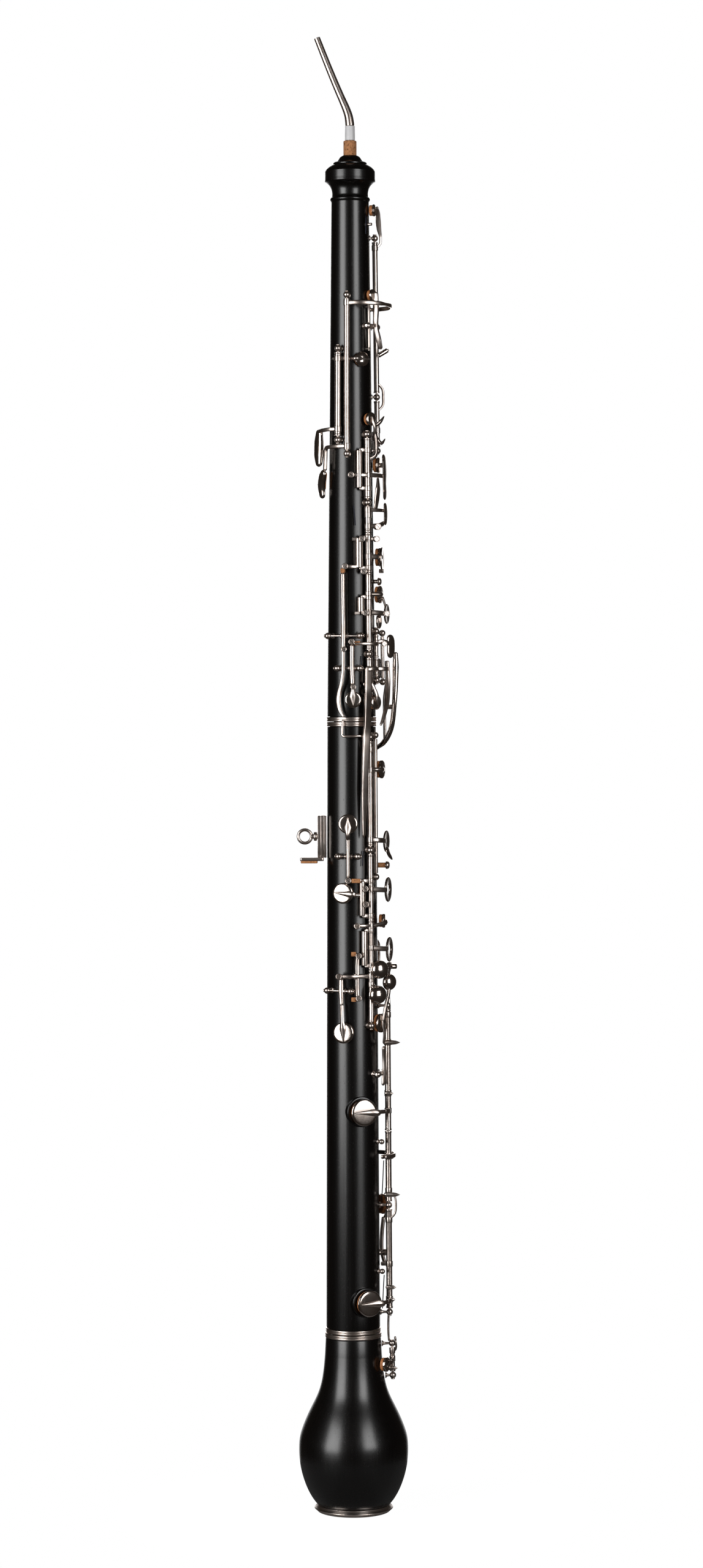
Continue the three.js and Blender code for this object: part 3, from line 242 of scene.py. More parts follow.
# Bar along a path: a rounded rectangle (superellipse) square to the run, leant by the twist in degrees.
# Near both ends its size falls along a quarter circle
def sweep(path, wide, thick, power, around=16, away=None, ease=1.0, step=1.0, twist=0.0):
    dense = np.asarray(path, float)
    travelled = np.concatenate([[0], np.cumsum(np.linalg.norm(np.diff(dense, axis=0), axis=1))])
    length = travelled[-1]
    wideAt = np.broadcast_to(np.asarray(wide, float), (len(dense),))
    thickAt = np.broadcast_to(np.asarray(thick, float), (len(dense),))
    reach = min(max(thickAt[0], wideAt[0] * 0.8) * ease, length * 0.4)
    tip = np.array([0, 0.03, 0.1, 0.22, 0.4, 0.65, 1]) * reach
    middle = np.linspace(tip[-1], length - tip[-1], max(2, int(length / step)))
    s = np.concatenate([tip[:-1], middle, length - tip[:-1][::-1]])
    place = np.stack([np.interp(s, travelled, dense[:, k]) for k in range(3)], -1)
    w, t = np.interp(s, travelled, wideAt), np.interp(s, travelled, thickAt)
    near = np.clip(np.minimum(s, length - s) / reach, 0, 1)
    taper = np.sqrt(np.clip(1 - (1 - near) ** 2, 0.004, 1))
    run = unit(np.gradient(place, s, axis=0))
    up = place * [1, 1, 0] if away is None else np.broadcast_to(np.asarray(away, float), place.shape)
    across = unit(np.cross(run, unit(up)))
    over = np.cross(across, run)
    lean = np.radians(np.interp(s, travelled, np.broadcast_to(twist, (len(dense),))))[:, None]
    across, over = across * np.cos(lean) + over * np.sin(lean), over * np.cos(lean) - across * np.sin(lean)
    turn = np.linspace(0, 2 * np.pi, around, endpoint=False) + np.pi / around
    c, d = np.cos(turn), np.sin(turn)
    c = np.sign(c) * np.abs(c) ** (2 / power)
    d = np.sign(d) * np.abs(d) ** (2 / power)
    rings = (place[:, None] + (w * taper)[:, None, None] * c[None, :, None] * across[:, None]
             + (t * taper)[:, None, None] * d[None, :, None] * over[:, None])
    return skin(rings)


# Flat arm through places above the wood; widths, thicknesses and twist may change from row to row
def strip(joint, rows, wide=None, thick=None, power=3.0, twist=0.0, **more):
    wide = keyWork["arm"] if wide is None else wide
    thick = keyWork["armThick"] if thick is None else thick
    path = spline([spot(joint, *row) for row in rows])
    share = np.linspace(0, len(rows) - 1, len(path))
    index = np.arange(len(rows))
    wide, thick, twist = [np.interp(share, index, np.broadcast_to(value, (len(rows),)))
                          for value in (wide, thick, twist)]
    return sweep(path, wide, thick, power, twist=twist, **more)


# Smooth shading, but for edges that turn by more than an angle
def soften(mesh, sharp):
    mesh.polygons.foreach_set("use_smooth", np.ones(len(mesh.polygons), bool))
    mesh.set_sharp_from_angle(angle=math.radians(sharp))


# One mesh object from closed shapes that rides on a body; it may stand for CAD nodes, which it hides
def piece(name, shapes, finish, rides, stands=(), sharp=38):
    counts = np.cumsum([0] + [len(v) for v, f in shapes])
    verts = np.vstack([v for v, f in shapes]) * millimetre
    faces = [[c + start for c in face] for (v, f), start in zip(shapes, counts) for face in f]
    mesh = bpy.data.meshes.new(name)
    mesh.from_pydata(verts.tolist(), [], faces)
    work = bmesh.new()
    work.from_mesh(mesh)
    bmesh.ops.recalc_face_normals(work, faces=work.faces)
    work.to_mesh(mesh)
    work.free()
    soften(mesh, sharp)
    mesh.materials.append(finish)
    made = bpy.data.objects.new(name, mesh)
    bpy.context.scene.collection.objects.link(made)
    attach(made, rides)
    if stands:
        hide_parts(*stands)
    return made


# Inputs of a node: a socket is linked, anything else is set as a value
def feed(tree, made, inputs):
    for name, value in inputs.items():
        if isinstance(value, bpy.types.NodeSocket):
            tree.links.new(value, made.inputs[name])
        else:
            made.inputs[name].default_value = value


# New node with its settings and inputs
def node(tree, kind, inputs=None, **settings):
    made = tree.nodes.new(kind)
    for name, value in settings.items():
        setattr(made, name, value)
    feed(tree, made, inputs or {})
    return made


# Colour that runs through stops of a place from 0 to 1 and a colour
def ramp(tree, factor, stops):
    made = node(tree, "ShaderNodeValToRGB", {"Fac": factor})
    points = made.color_ramp.elements
    while len(points) < len(stops):
        points.new(0.5)
    for point, (where, colour) in zip(points, stops):
        point.position = where
        point.color = (*colour, 1)
    return made.outputs["Color"]


# Factor carried in a straight line from one range to another, and held at its ends
def spread(tree, factor, low, high, start=0.0, end=1.0):
    made = node(tree, "ShaderNodeMapRange",
                {"Value": factor, "From Min": start, "From Max": end, "To Min": low, "To Max": high})
    return made.outputs[0]


# Noise at a place, of one scale
def noise(tree, place, scale, detail, rough=0.5):
    made = node(tree, "ShaderNodeTexNoise",
                {"Vector": place, "Scale": scale, "Detail": detail, "Roughness": rough})
    return made.outputs["Fac"]


# Noise drawn out: its scale differs along the three axes, which may be turned
def drawnNoise(tree, place, scale, detail, turn=(0, 0, 0)):
    drawn = node(tree, "ShaderNodeMapping", {"Vector": place, "Rotation": turn, "Scale": scale})
    return noise(tree, drawn.outputs[0], 1.0, detail)


# Normal of a surface raised by a height, of a strength from 0 to 1 and a depth in metres
def bump(tree, height, strength, depth):
    made = node(tree, "ShaderNodeBump", {"Height": height, "Strength": strength, "Distance": depth})
    return made.outputs[0]


# Empty finish, its node tree, its shader and the place on the piece, in Object coordinates
def newFinish(name):
    finish = bpy.data.materials.new(name)
    finish.use_nodes = True
    tree = finish.node_tree
    place = node(tree, "ShaderNodeTexCoord").outputs["Object"]
    return finish, tree, tree.nodes["Principled BSDF"], place


woodLook = {
    "dark": (0.0006, 0.0004, 0.0003), "light": (0.0018, 0.0012, 0.001), "grain": (900.0, 900.0, 22.0),
    "pores": (2300.0, 2300.0, 420.0), "poreEdge": (0.67, 0.78), "smooth": 0.23, "rough": 0.29,
    "poreRough": 0.42, "specular": 0.72, "bump": (0.08, 0.00004),
}


# Grenadilla: near black and oiled, with long grain up the bore and short dull pores
def woodFinish():
    finish, tree, shader, place = newFinish("grenadilla")
    grain = drawnNoise(tree, place, woodLook["grain"], 4.0)
    pores = drawnNoise(tree, place, woodLook["pores"], 2.0)
    gloss = spread(tree, grain, woodLook["smooth"], woodLook["rough"])
    pit = spread(tree, pores, 0.0, 1.0, *woodLook["poreEdge"])
    rough = node(tree, "ShaderNodeMix", {"Factor": pit, "A": gloss, "B": woodLook["poreRough"]})
    height = node(tree, "ShaderNodeMath", {0: pit, 1: -1.0, 2: grain}, operation="MULTIPLY_ADD")
    feed(tree, shader, {
        "Base Color": ramp(tree, grain, [(0.35, woodLook["dark"]), (0.75, woodLook["light"])]),
        "Roughness": rough.outputs[0],
        "Normal": bump(tree, height.outputs[0], *woodLook["bump"]),
        "Specular IOR Level": woodLook["specular"],
    })
    return finish


silverLook = {
    "bright": (0.7, 0.62, 0.57), "warm": (0.59, 0.505, 0.45), "cloud": 170.0,
    "hair": (3400.0, 3400.0, 260.0), "hairTurn": (0.3, 0.5, 0.2), "hairEdge": (0.55, 0.8),
    "bump": (0.04, 0.00001),
}


# Silver plate: bright, a little warmer in soft clouds, with hairline wear in its gloss
def silverFinish(name, smooth, rough):
    finish, tree, shader, place = newFinish(name)
    cloud = noise(tree, place, silverLook["cloud"], 3.0)
    hair = drawnNoise(tree, place, silverLook["hair"], 2.0, silverLook["hairTurn"])
    feed(tree, shader, {
        "Base Color": ramp(tree, cloud, [(0.38, silverLook["warm"]), (0.55, silverLook["bright"])]),
        "Roughness": spread(tree, hair, smooth, rough, *silverLook["hairEdge"]),
        "Normal": bump(tree, hair, *silverLook["bump"]),
        "Metallic": 1.0,
    })
    return finish


corkLook = {
    "fleck": (0.12, 0.045, 0.018), "base": (0.5, 0.23, 0.1), "pale": (0.625, 0.2875, 0.125), "cells": 1300.0,
    "cloud": 780.0, "rough": 0.82, "specular": 0.25, "bump": (0.4, 0.0001),
}


# Cork: tan, with dark flecks in its clouds and small pits round its cells
def corkFinish():
    finish, tree, shader, place = newFinish("sheetCork")
    cells = node(tree, "ShaderNodeTexVoronoi", {"Vector": place, "Scale": corkLook["cells"]})
    cloud = noise(tree, place, corkLook["cloud"], 6.0, 0.7)
    feed(tree, shader, {
        "Base Color": ramp(tree, cloud, [(0.36, corkLook["fleck"]), (0.47, corkLook["base"]),
                                         (0.72, corkLook["pale"])]),
        "Normal": bump(tree, cells.outputs["Distance"], *corkLook["bump"]),
        "Roughness": corkLook["rough"],
        "Specular IOR Level": corkLook["specular"],
    })
    return finish


# Plain finish with faint clouds from a dark tone to its own, such as skin, thread or steel
def plainFinish(name, base, dark, rough, scale, metallic=0.0):
    finish, tree, shader, place = newFinish(name)
    cloud = noise(tree, place, scale, 4.0)
    feed(tree, shader, {
        "Base Color": ramp(tree, cloud, [(0.3, dark), (0.6, base)]),
        "Normal": bump(tree, cloud, 0.25, 0.00008),
        "Roughness": rough,
        "Metallic": metallic,
    })
    return finish


grenadilla = woodFinish()
silver = silverFinish("silverPlate", 0.28, 0.34)
polished = silverFinish("polishedPlate", 0.15, 0.21)
cork = corkFinish()
padSkin = plainFinish("padSkin", (0.66, 0.27, 0.1), (0.42, 0.15, 0.05), 0.62, 900.0)
whiteSleeve = plainFinish("whiteSleeve", (0.82, 0.82, 0.83), (0.77, 0.77, 0.78), 0.42, 300.0)
blueSteel = plainFinish("springSteel", (0.02, 0.022, 0.03), (0.012, 0.012, 0.018), 0.3, 500.0, 1.0)
print("finishes made")


# Piece in silver plate
def silverPiece(name, shapes, rides, stands=()):
    piece(name, shapes, silver, rides, stands)


# Hinge line between two places above the wood, with its tubes' radius. Its stops go from the foot up: the
# share of the joint, and 1 for a post or 0 where two tubes meet
def hingeLine(joint, start, end, stops, radius):
    return {"joint": joint, "angle": start[0], "lift": start[1], "from": start[2], "to": end[2],
            "radius": radius, "a": spot(joint, *start), "b": spot(joint, *end), "stops": stops}


# Point of a hinge line at a share of its joint's length
def onLine(line, share):
    return line["a"] + (line["b"] - line["a"]) * (share - line["from"]) / (line["to"] - line["from"])


lines = {
    "trill": hingeLine("upper", (-18, 1.12, 0.479), (-18, 1.12, 0.855),
                       [(0.479, 1), (0.574, 1), (0.855, 1)], 1.6),
    "firstOctave": hingeLine("upper", (118.5, 1, 0.495), (118.5, 1, 0.656), [(0.495, 1), (0.656, 1)], 1.85),
    "secondOctave": hingeLine("upper", (97.3, 1.53, 0.47), (97.3, 1.53, 0.749), [(0.47, 1), (0.749, 1)], 1.6),
    "upper": hingeLine("upper", (53, 1, 0.048), (53, 1, 0.505),
                       [(0.048, 1), (0.119, 1), (0.262, 0), (0.332, 0), (0.385, 1), (0.505, 1)], 1.75),
    "left": hingeLine("upper", (33, 1, 0.073), (33, 1, 0.159), [(0.073, 1), (0.112, 0), (0.159, 1)], 1.3),
    "lower": hingeLine("lower", (53, 1, 0.505), (53, 1, 0.975),
                       [(0.505, 1), (0.596, 0), (0.674, 0), (0.791, 1), (0.975, 1)], 1.45),
    "leftLever": hingeLine("lower", (-46, 1, 0.262), (-46, 1, 0.972),
                           [(0.262, 1), (0.62, 1), (0.972, 1)], 1.5),
    "foot": hingeLine("lower", (4, 1.65, 0.033), (4, 1.65, 0.535),
                      [(0.033, 1), (0.208, 1), (0.33, 0), (0.535, 1)], 1.8),
    "bell": hingeLine("bell", (0, 1.45, 0.756), (0, 1.85, 0.935), [(0.756, 1), (0.935, 1)], 1.45),
}


# Pivot of a lever that rocks along the body: its rod crosses the body between two posts
def crossPivot(joint, angle, lift, share, spreadAngle):
    a, b = spot(joint, angle - spreadAngle, lift, share), spot(joint, angle + spreadAngle, lift, share)
    return {"angle": angle, "a": a, "b": b, "radius": np.linalg.norm(((a + b) / 2)[:2])}


pivots = {
    "rocker": crossPivot("upper", 25, 1.06, 0.696, 24),
    "bridge": crossPivot("upper", 105.8, 1.33, 0.151, 32.6),
    "side": crossPivot("upper", 96.1, 1.03, 0.094, 22.3),
    "vent": crossPivot("lower", 97.4, 1, 0.781, 18.5),
    "flat": crossPivot("lower", 117, 1.15, 0.562, 24),
    "sharp": crossPivot("lower", 15, 1.1, 0.425, 24),
    "lowVent": crossPivot("lower", -30, 1.05, 0.128, 16),
}

# Cups: joint, angle, height share and radius, then 1 for a chimney, and the share of the usual opening
cups = {
    "trill": ("upper", 8, 0.902, 3.6, 0, 0), "rocker": ("upper", 26, 0.751, 3.6, 0, 0),
    "firstOctave": ("upper", 63.7, 0.637, 4.3, 0, 0), "secondOctave": ("upper", -52, 0.731, 3.8, 0, 0),
    "leftTop": ("upper", 44, 0.532, 4, 0, 1), "leftIndex": ("upper", 14, 0.452, 4.6, 0, 1),
    "leftMiddle": ("upper", 8, 0.29, 5.6, 0, 1), "leftRing": ("upper", 14, 0.224, 5.2, 0, 1),
    "bridgeVent": ("upper", 38, 0.034, 4.4, 0, 1), "side": ("upper", 87, 0.039, 4.85, 0, 1),
    "rightIndex": ("lower", 16, 0.922, 5.4, 0, 1), "vent": ("lower", 97, 0.834, 5.75, 0, 1),
    "forked": ("lower", 107.6, 0.721, 6.1, 0, 0), "rightRing": ("lower", 8, 0.674, 4.2, 0, 1),
    "flat": ("lower", 107, 0.494, 6.2, 0, 0), "sharp": ("lower", 28, 0.508, 5.6, 0, 1),
    "lowC": ("lower", 70.9, 0.365, 7.9, 1, 1), "lowVent": ("lower", -27, 0.206, 6, 0, 1.35),
    "lowB": ("lower", 63, 0.054, 7.7, 1, 1), "bell": ("bell", 24, 0.83, 4.3, 0, 1),
}


# Radius where a cup's pad starts: the wood, its chimney, a small gap and the opening
def padFoot(cup):
    joint, _, share, _, chimney, opened = cups[cup]
    seat = woodRadius(heightOf(joint, share)) + keyWork["chimney"] * chimney
    return seat + keyWork["gap"] + keyWork["open"] * opened


# Pad: a skin-covered disc with a rounded rim
def padShape(cup):
    joint, angle, share, radius = cups[cup][:4]
    r, h = radius - 0.45, keyWork["pad"] + 0.25
    profile = rounded([[0, 0.12], [r * 0.5, 0.1], [r * 0.8, 0], [r, 0], [r, h], [0, h]],
                      [0, 0, 0, 0.6, 0.3, 0], 5)
    return standOut(lathe(profile, 44), padFoot(cup), angle, heightOf(joint, share))


# Cup: a shallow turned cap with a straight wall and a bevelled shoulder; its crown is a flat bow or a dome
def cupShape(cup, crown):
    joint, angle, share, radius = cups[cup][:4]
    h = keyWork["cup"]
    crown = keyWork["crown"] if crown is None else crown
    part = np.linspace(1, 0, 9)[:, None]
    top = np.hstack([(radius - 0.6) * part, h + crown * (np.sqrt(1 - (part * 0.96) ** 2) - 0.28)])
    side = rounded([[0, 0.25], [radius - 0.5, 0.25], [radius - 0.5, 0], [radius, 0], [radius, h - 0.45],
                    top[0]], [0, 0.05, 0.1, 0.12, 0.2, 0.1], 4)
    profile = np.vstack([side, top[1:]])
    profile[-1, 0] = 0
    base = padFoot(cup) + keyWork["pad"] + keyWork["gap"]
    return standOut(lathe(profile, 72), base, angle, heightOf(joint, share))


# Finger plate: a disc with a rounded rim and a shallow hollow for the finger, tipped towards the front
def plateShape(joint, angle, lift, share, radius, tip):
    t = keyWork["plate"]
    profile = rounded([
        [0, 0], [radius - 0.5, 0], [radius, t * 0.5], [radius - 0.35, t], [radius * 0.72, t * 0.86],
        [radius * 0.35, t * 0.72], [0, t * 0.68],
    ], [0, 0.4, 0.4, 0.4, 1, 1, 0], 4)
    return stand(lathe(profile, 56), spot(joint, angle, lift, share), outward(angle + tip))


# Finger ring: a flat ring with round edges, tipped towards the front
def ringPlate(joint, angle, lift, share, radius, hole, tip):
    t = keyWork["plate"]
    profile = rounded([[hole, 0.1], [radius - 0.3, 0], [radius, t * 0.6], [radius - 0.4, t], [hole, t * 0.8]],
                      [0.3, 0.4, 0.4, 0.4, 0.4], 4, True)
    return stand(ringLathe(profile, 56), spot(joint, angle, lift, share), outward(angle + tip))


# Little finger's touch: a disc that rises to a dome, by a quarter turn of a flattened circle
def domeShape(joint, angle, lift, share, radius, tip):
    turn = np.linspace(0, np.pi / 2, 15)[:, None]
    top = np.hstack([radius * 0.97 * np.cos(turn), 0.6 + keyWork["dome"] * np.sin(turn)])
    profile = np.vstack([rounded([[0, 0], [radius * 0.86, 0], [radius, 0.45], top[0]], 0.3, 3), top[1:]])
    profile[-1, 0] = 0
    return stand(lathe(profile, 64), spot(joint, angle, lift, share), outward(angle + tip))


# Key tube between two stops, with a turned collar at each end
def tubeShape(line, low, high):
    start, end = onLine(line, low[0]), onLine(line, high[0])
    run = unit(end - start)
    start = start + run * (keyWork["ball"] + keyWork["gap"] if low[1] else keyWork["gap"] / 2)
    end = end - run * (keyWork["ball"] + keyWork["gap"] if high[1] else keyWork["gap"] / 2)
    length = np.linalg.norm(end - start)
    r, proud = line["radius"], line["radius"] + keyWork["collarRise"]
    flat = keyWork["collar"]
    eased = flat + keyWork["collarEase"]
    profile = rounded([
        [0, 0], [proud, 0], [proud, flat], [r, eased], [r, length - eased], [proud, length - flat],
        [proud, length], [0, length],
    ], 0.2, 3)
    return stand(lathe(profile, 28), start, run)


# Key tubes of a hinge line from one of its stops to another
def tubesOf(name, first, last):
    line = lines[name]
    return [tubeShape(line, line["stops"][i], line["stops"][i + 1]) for i in range(first, last)]


# Sleeve where an arm meets its tube
def saddle(name, share, half=1.7):
    line = lines[name]
    run = unit(line["b"] - line["a"])
    place = onLine(line, share)
    return bar(place - run * half, place + run * half, line["radius"] + 0.3, 0.3, 28)


# Post: a flange on the wood, a waisted stem and a ball; the profile is carried round its own axis
def postShape(place, scale=1.0):
    away = place * [1, 1, 0]
    flange, neckTurn = 1.75, 0.36
    low = max(woodRadius(place[2] - 1.7), woodRadius(place[2] + 1.7))
    height = np.linalg.norm(away) - low - 0.3
    r = keyWork["ball"] * scale
    turn = np.linspace(neckTurn, np.pi, 14)
    ballPart = np.stack([np.sin(turn) * r, height - np.cos(turn) * r], -1)
    ballPart[-1, 0] = 0
    neck = height - math.cos(neckTurn) * r
    foot = rounded([[0, -0.25], [flange, -0.25], [flange, 0.35], [1.05, 0.75], [0.82, max(neck * 0.55, 0.9)],
                    [ballPart[0, 0], neck]], [0, 0.1, 0.2, 0.5, 0.8, 0], 4)
    base = unit(away) * (low + 0.3) + [0, 0, place[2]]
    return stand(lathe(np.vstack([foot[:-1], ballPart]), 28), base, away)


# Head of a pivot screw outside an end post
def screwHead(place, run, radius):
    return stand(lathe(rounded([[0, 0], [radius, 0], [radius, 0.55], [0, 0.6]], 0.2, 3), 24), place, run)


# Posts at places along a line, the rod through them and a screw head at both ends
def postsAt(places, headRadius):
    run = unit(places[-1] - places[0])
    reach = run * (keyWork["ball"] - 0.25)
    shapes = [postShape(place) for place in places]
    shapes.append(bar(places[0], places[-1], keyWork["rod"], 0.1, 16))
    shapes.append(screwHead(places[0] - reach, -run, headRadius))
    shapes.append(screwHead(places[-1] + reach, run, headRadius))
    return shapes


# Hub of a rocking lever on its rod, moved along the rod until it lies at an angle of the body
def hubShape(name, angle):
    pivot = pivots[name]
    run = unit(pivot["b"] - pivot["a"])
    aside = pivot["radius"] * math.tan(math.radians(angle - pivot["angle"]))
    centre = (pivot["a"] + pivot["b"]) / 2 + run * aside
    return bar(centre - run * keyWork["hub"], centre + run * keyWork["hub"], keyWork["tube"], 0.3, 28)


# Bar beside a key tube, with an arm to it at each end
def sideBar(name, angle, low, high, radius=1.8):
    line = lines[name]
    joint, own, lift = line["joint"], line["angle"], line["lift"]
    shapes = [strip(joint, [(own, lift, s), ((own + angle) / 2, lift, s), (angle, lift, s)], 1.35, 0.95, 4.0)
              for s in (low, high)]
    return shapes + [bar(spot(joint, angle, lift, low), spot(joint, angle, lift, high), radius, 0.5, 28),
                     saddle(name, low, 1.5), saddle(name, high, 1.5)]


# Bar that stands straight out from the body, from one radius to another
def stalk(joint, angle, share, start, end, radius):
    z = heightOf(joint, share)
    return bar(polar(start, angle, z), polar(end, angle, z), radius, 0.2, 24)


# Spear arm of a cup: a ridged blade from a start beside the cup to a point near its far rim
def spearArm(cup, start, via=(), wide=1.7, reach=0.8):
    joint, angle, share, radius = cups[cup][:4]
    away = outward(angle)
    top = padFoot(cup) + keyWork["pad"] + keyWork["gap"] + keyWork["cup"] + keyWork["armRise"]
    crown = polar(top, angle, heightOf(joint, share))
    first = spot(joint, *start)
    back = first - crown
    back = unit(back - away * np.dot(back, away))
    path = spline([first, *[spot(joint, *p) for p in via], crown + back * (radius + 0.8) + away * 0.7,
                   crown + back * radius * 0.3 + away * 0.5, crown - back * radius * reach + away * 0.15])
    index = np.linspace(0, 1, len(path))
    return sweep(path, np.interp(index, [0, 0.35, 0.65, 1], [1.2, 1.3, wide, 0.3]),
                 np.interp(index, [0, 0.6, 1], [0.8, 0.9, 0.35]), 1.35, away=away, step=0.6)


# Leaf at the end of a lever: it runs straight out from the body, broad along it, to a point
def leaf(joint, angle, share, start, end, broad=1.55):
    z = heightOf(joint, share)
    path = spline([polar(radius, angle, z) for radius in (start, (start + end) / 2, end)])
    index = np.linspace(0, 1, len(path))
    thin = np.interp(index, [0, 0.6, 1], [1.0, 0.9, 0.2])
    breadth = np.interp(index, [0, 0.4, 0.75, 1], [broad * 0.75, broad, broad * 0.7, 0.15])
    return sweep(path, thin, breadth, 1.6, away=(0, 0, 1), step=0.5)


# Adjusting screw in its barrel: a short ring, and in it two half discs with the slot between them
def slotScrew(joint, angle, lift, share, facing=86, radius=1.8):
    deep, hole = 3.0, radius * 0.7
    out = outward(facing)
    back = spot(joint, angle, lift, share) - out * deep / 2
    wall = rounded([[hole, 0], [radius, 0], [radius, deep], [hole, deep]], 0.28, 3, True)
    shapes = [stand(ringLathe(wall, 40), back, out)]
    turn = np.linspace(0, np.pi, 17)
    for side in (0, np.pi):
        half = np.stack([np.cos(turn) * (hole - 0.05), 0.17 + np.sin(turn) * (hole - 0.24)], -1)
        c, s = math.cos(side + 0.8), math.sin(side + 0.8)
        half = half @ np.array([[c, s], [-s, c]])
        rings = np.empty((2, len(turn), 3))
        rings[..., :2] = half
        rings[..., 2] = np.array([0.1, deep - 0.35])[:, None]
        shapes.append(stand(skin(rings), back, out))
    return shapes


# Small block between two places, such as a cork or a stub: a boxy bar with soft edges
def slip(joint, start, end, wide, thick):
    path = np.linspace(spot(joint, *start), spot(joint, *end), 9)
    return sweep(path, wide, thick, 7.0, ease=0.2, step=0.8)


# Knob with a stem and a domed cap, turned about a line straight out from the body
def knob(joint, angle, share, start, end, radius, stem):
    length = end - start
    neck = length - radius
    profile = rounded([[0, 0], [stem, 0], [stem, neck], [radius * 0.85, neck], [radius, neck + 0.45],
                       [radius * 0.9, length - radius * 0.3], [radius * 0.5, length - 0.08], [0, length]],
                      [0, 0.1, 0.3, 0.3, 0.4, 0.6, 0.5, 0], 4)
    return standOut(lathe(profile, 36), start, angle, heightOf(joint, share))


# Needle spring: a thin wire from its post to the arm it presses
def needle(joint, start, end):
    return bar(spot(joint, *start), spot(joint, *end), 0.3, 0.05, 10)


woodCut = {"around": 112, "toneHole": 0.42, "cutAround": 32, "sharp": 30}


# Wood of one joint: a closed profile carried round the bore, chimneys joined to it and tone holes cut in it
def turnedWood(name, profile, corners, joint, boreRadius, rides):
    chimneys, cutters = [], []
    for where, angle, share, radius, chimney, _ in cups.values():
        if where != joint:
            continue
        z = heightOf(joint, share)
        seat = woodRadius(z) + keyWork["chimney"] * chimney
        hole = radius * woodCut["toneHole"]
        if chimney:
            root = boreRadius - seat + 2
            wall = rounded([[hole, root], [radius + 1.1, root], [radius + 1.1, -0.3], [radius + 0.5, 0],
                            [hole, 0]], [0, 0, 0.4, 0.3, 0.3], 3, True)
            chimneys.append(standOut(ringLathe(wall, 56), seat, angle, z))
        cutters.append(bar(polar(boreRadius * 0.5, angle, z), polar(seat + 2, angle, z), hole, 0.01,
                           woodCut["cutAround"]))
    turned = ringLathe(rounded(profile, corners, 3, True), woodCut["around"])
    made = piece(name, [turned], grenadilla, rides, [rides], woodCut["sharp"])
    for k, chimney in enumerate(chimneys):
        shapeWith(made, piece(f"{name}Add{k}", [chimney], grenadilla, rides), "UNION")
    shapeWith(made, piece(f"{name}Knife", cutters, grenadilla, rides), "DIFFERENCE")
    soften(made.data, woodCut["sharp"])


# Boolean of one piece with another; the result is applied and the other goes
def shapeWith(made, other, how):
    change = made.modifiers.new("cut", "BOOLEAN")
    change.operation = how
    change.solver = "EXACT"
    change.object = other
    bpy.context.view_layer.update()
    fresh = bpy.data.meshes.new_from_object(made.evaluated_get(bpy.context.evaluated_depsgraph_get()))
    made.modifiers.clear()
    made.data = fresh
    bpy.data.objects.remove(other)


bellSizes = {
    "foot": 0.3, "mouth": 16.5, "rimSeat": 19.3, "rimTop": 4.3, "hollow": 21.5, "bore": 7.6,
    "ringWall": 14.85, "socket": 12.5, "socketFoot": 82.7,
}
lowerSizes = {
    "bore": 7.6, "boreTop": 4.9, "boreMiddle": 6.2, "tenon": 12.2, "tenonFoot": 83.3, "groove": 10.6,
    "grooveFoot": 86.3, "grooveTop": 102.45, "corkFoot": 86.6, "corkTop": 102.3, "ringWall": 14.45,
    "topRingWall": 12.9, "socket": 10.9, "socketFoot": 443.0,
}
upperSizes = {
    "bore": 4.9, "boreTop": 2.6, "boreMiddle": 3.5, "tenon": 10.6, "tenonFoot": 443.6, "groove": 9.0,
    "grooveFoot": 446.6, "grooveTop": 462.75, "corkFoot": 446.9, "corkTop": 462.6, "ringWall": 12.9,
    "socket": 4.15, "socketFoot": 778, "lip": 799.7,
}


# Tenon from the bore out and up to its joint's foot, with the groove that its cork fills
def tenonPoints(sizes, foot):
    outer, inner = sizes["tenon"], sizes["groove"]
    return [[sizes["bore"], sizes["tenonFoot"]], [outer, sizes["tenonFoot"]], [outer, sizes["grooveFoot"]],
            [inner, sizes["grooveFoot"]], [inner, sizes["grooveTop"]], [outer, sizes["grooveTop"]],
            [outer, foot]]


# Socket from its lip in, down to its floor and in to the bore
def socketPoints(sizes, lip, bore):
    return [[sizes["socket"], lip], [sizes["socket"], sizes["socketFoot"]], [bore, sizes["socketFoot"]]]


# Bell: its outline outside, the seat of its ring and the socket above, and a pear-shaped hollow inside
def bellProfile():
    top = bellTop - wood["gap"]
    seat = top - ringSeat
    foot, rim, wall = bellSizes["foot"], bellSizes["rimSeat"], bellSizes["ringWall"]
    pearShares = np.array([[0.82, 0.09], [0.96, 0.2], [1, 0.34], [0.86, 0.5], [0.56, 0.64]])
    return np.vstack([
        [[bellSizes["mouth"], foot], [rim, foot], [rim, bellSizes["rimTop"]]],
        smoothCurve(bellOutline[:-1], 8), [[wood["bellNeck"], seat], [wall, seat], [wall, top]],
        socketPoints(bellSizes, top, bellSizes["bore"]),
        spline(pearShares * [bellSizes["hollow"], bellTop], 6)[::-1],
    ])


# Lower joint: the tenon with its cork's groove, a straight taper between the seats of two rings, the socket
def lowerProfile():
    foot, top = bellTop + wood["gap"], middleSeam - wood["gap"]
    low, high = foot + ringSeat, top - ringSeat
    wall, topWall = lowerSizes["ringWall"], lowerSizes["topRingWall"]
    return np.array([
        *tenonPoints(lowerSizes, foot), [wall, foot], [wall, low], [woodRadius(low), low],
        [woodRadius(high), high], [topWall, high], [topWall, top],
        *socketPoints(lowerSizes, top, lowerSizes["boreTop"]),
    ])


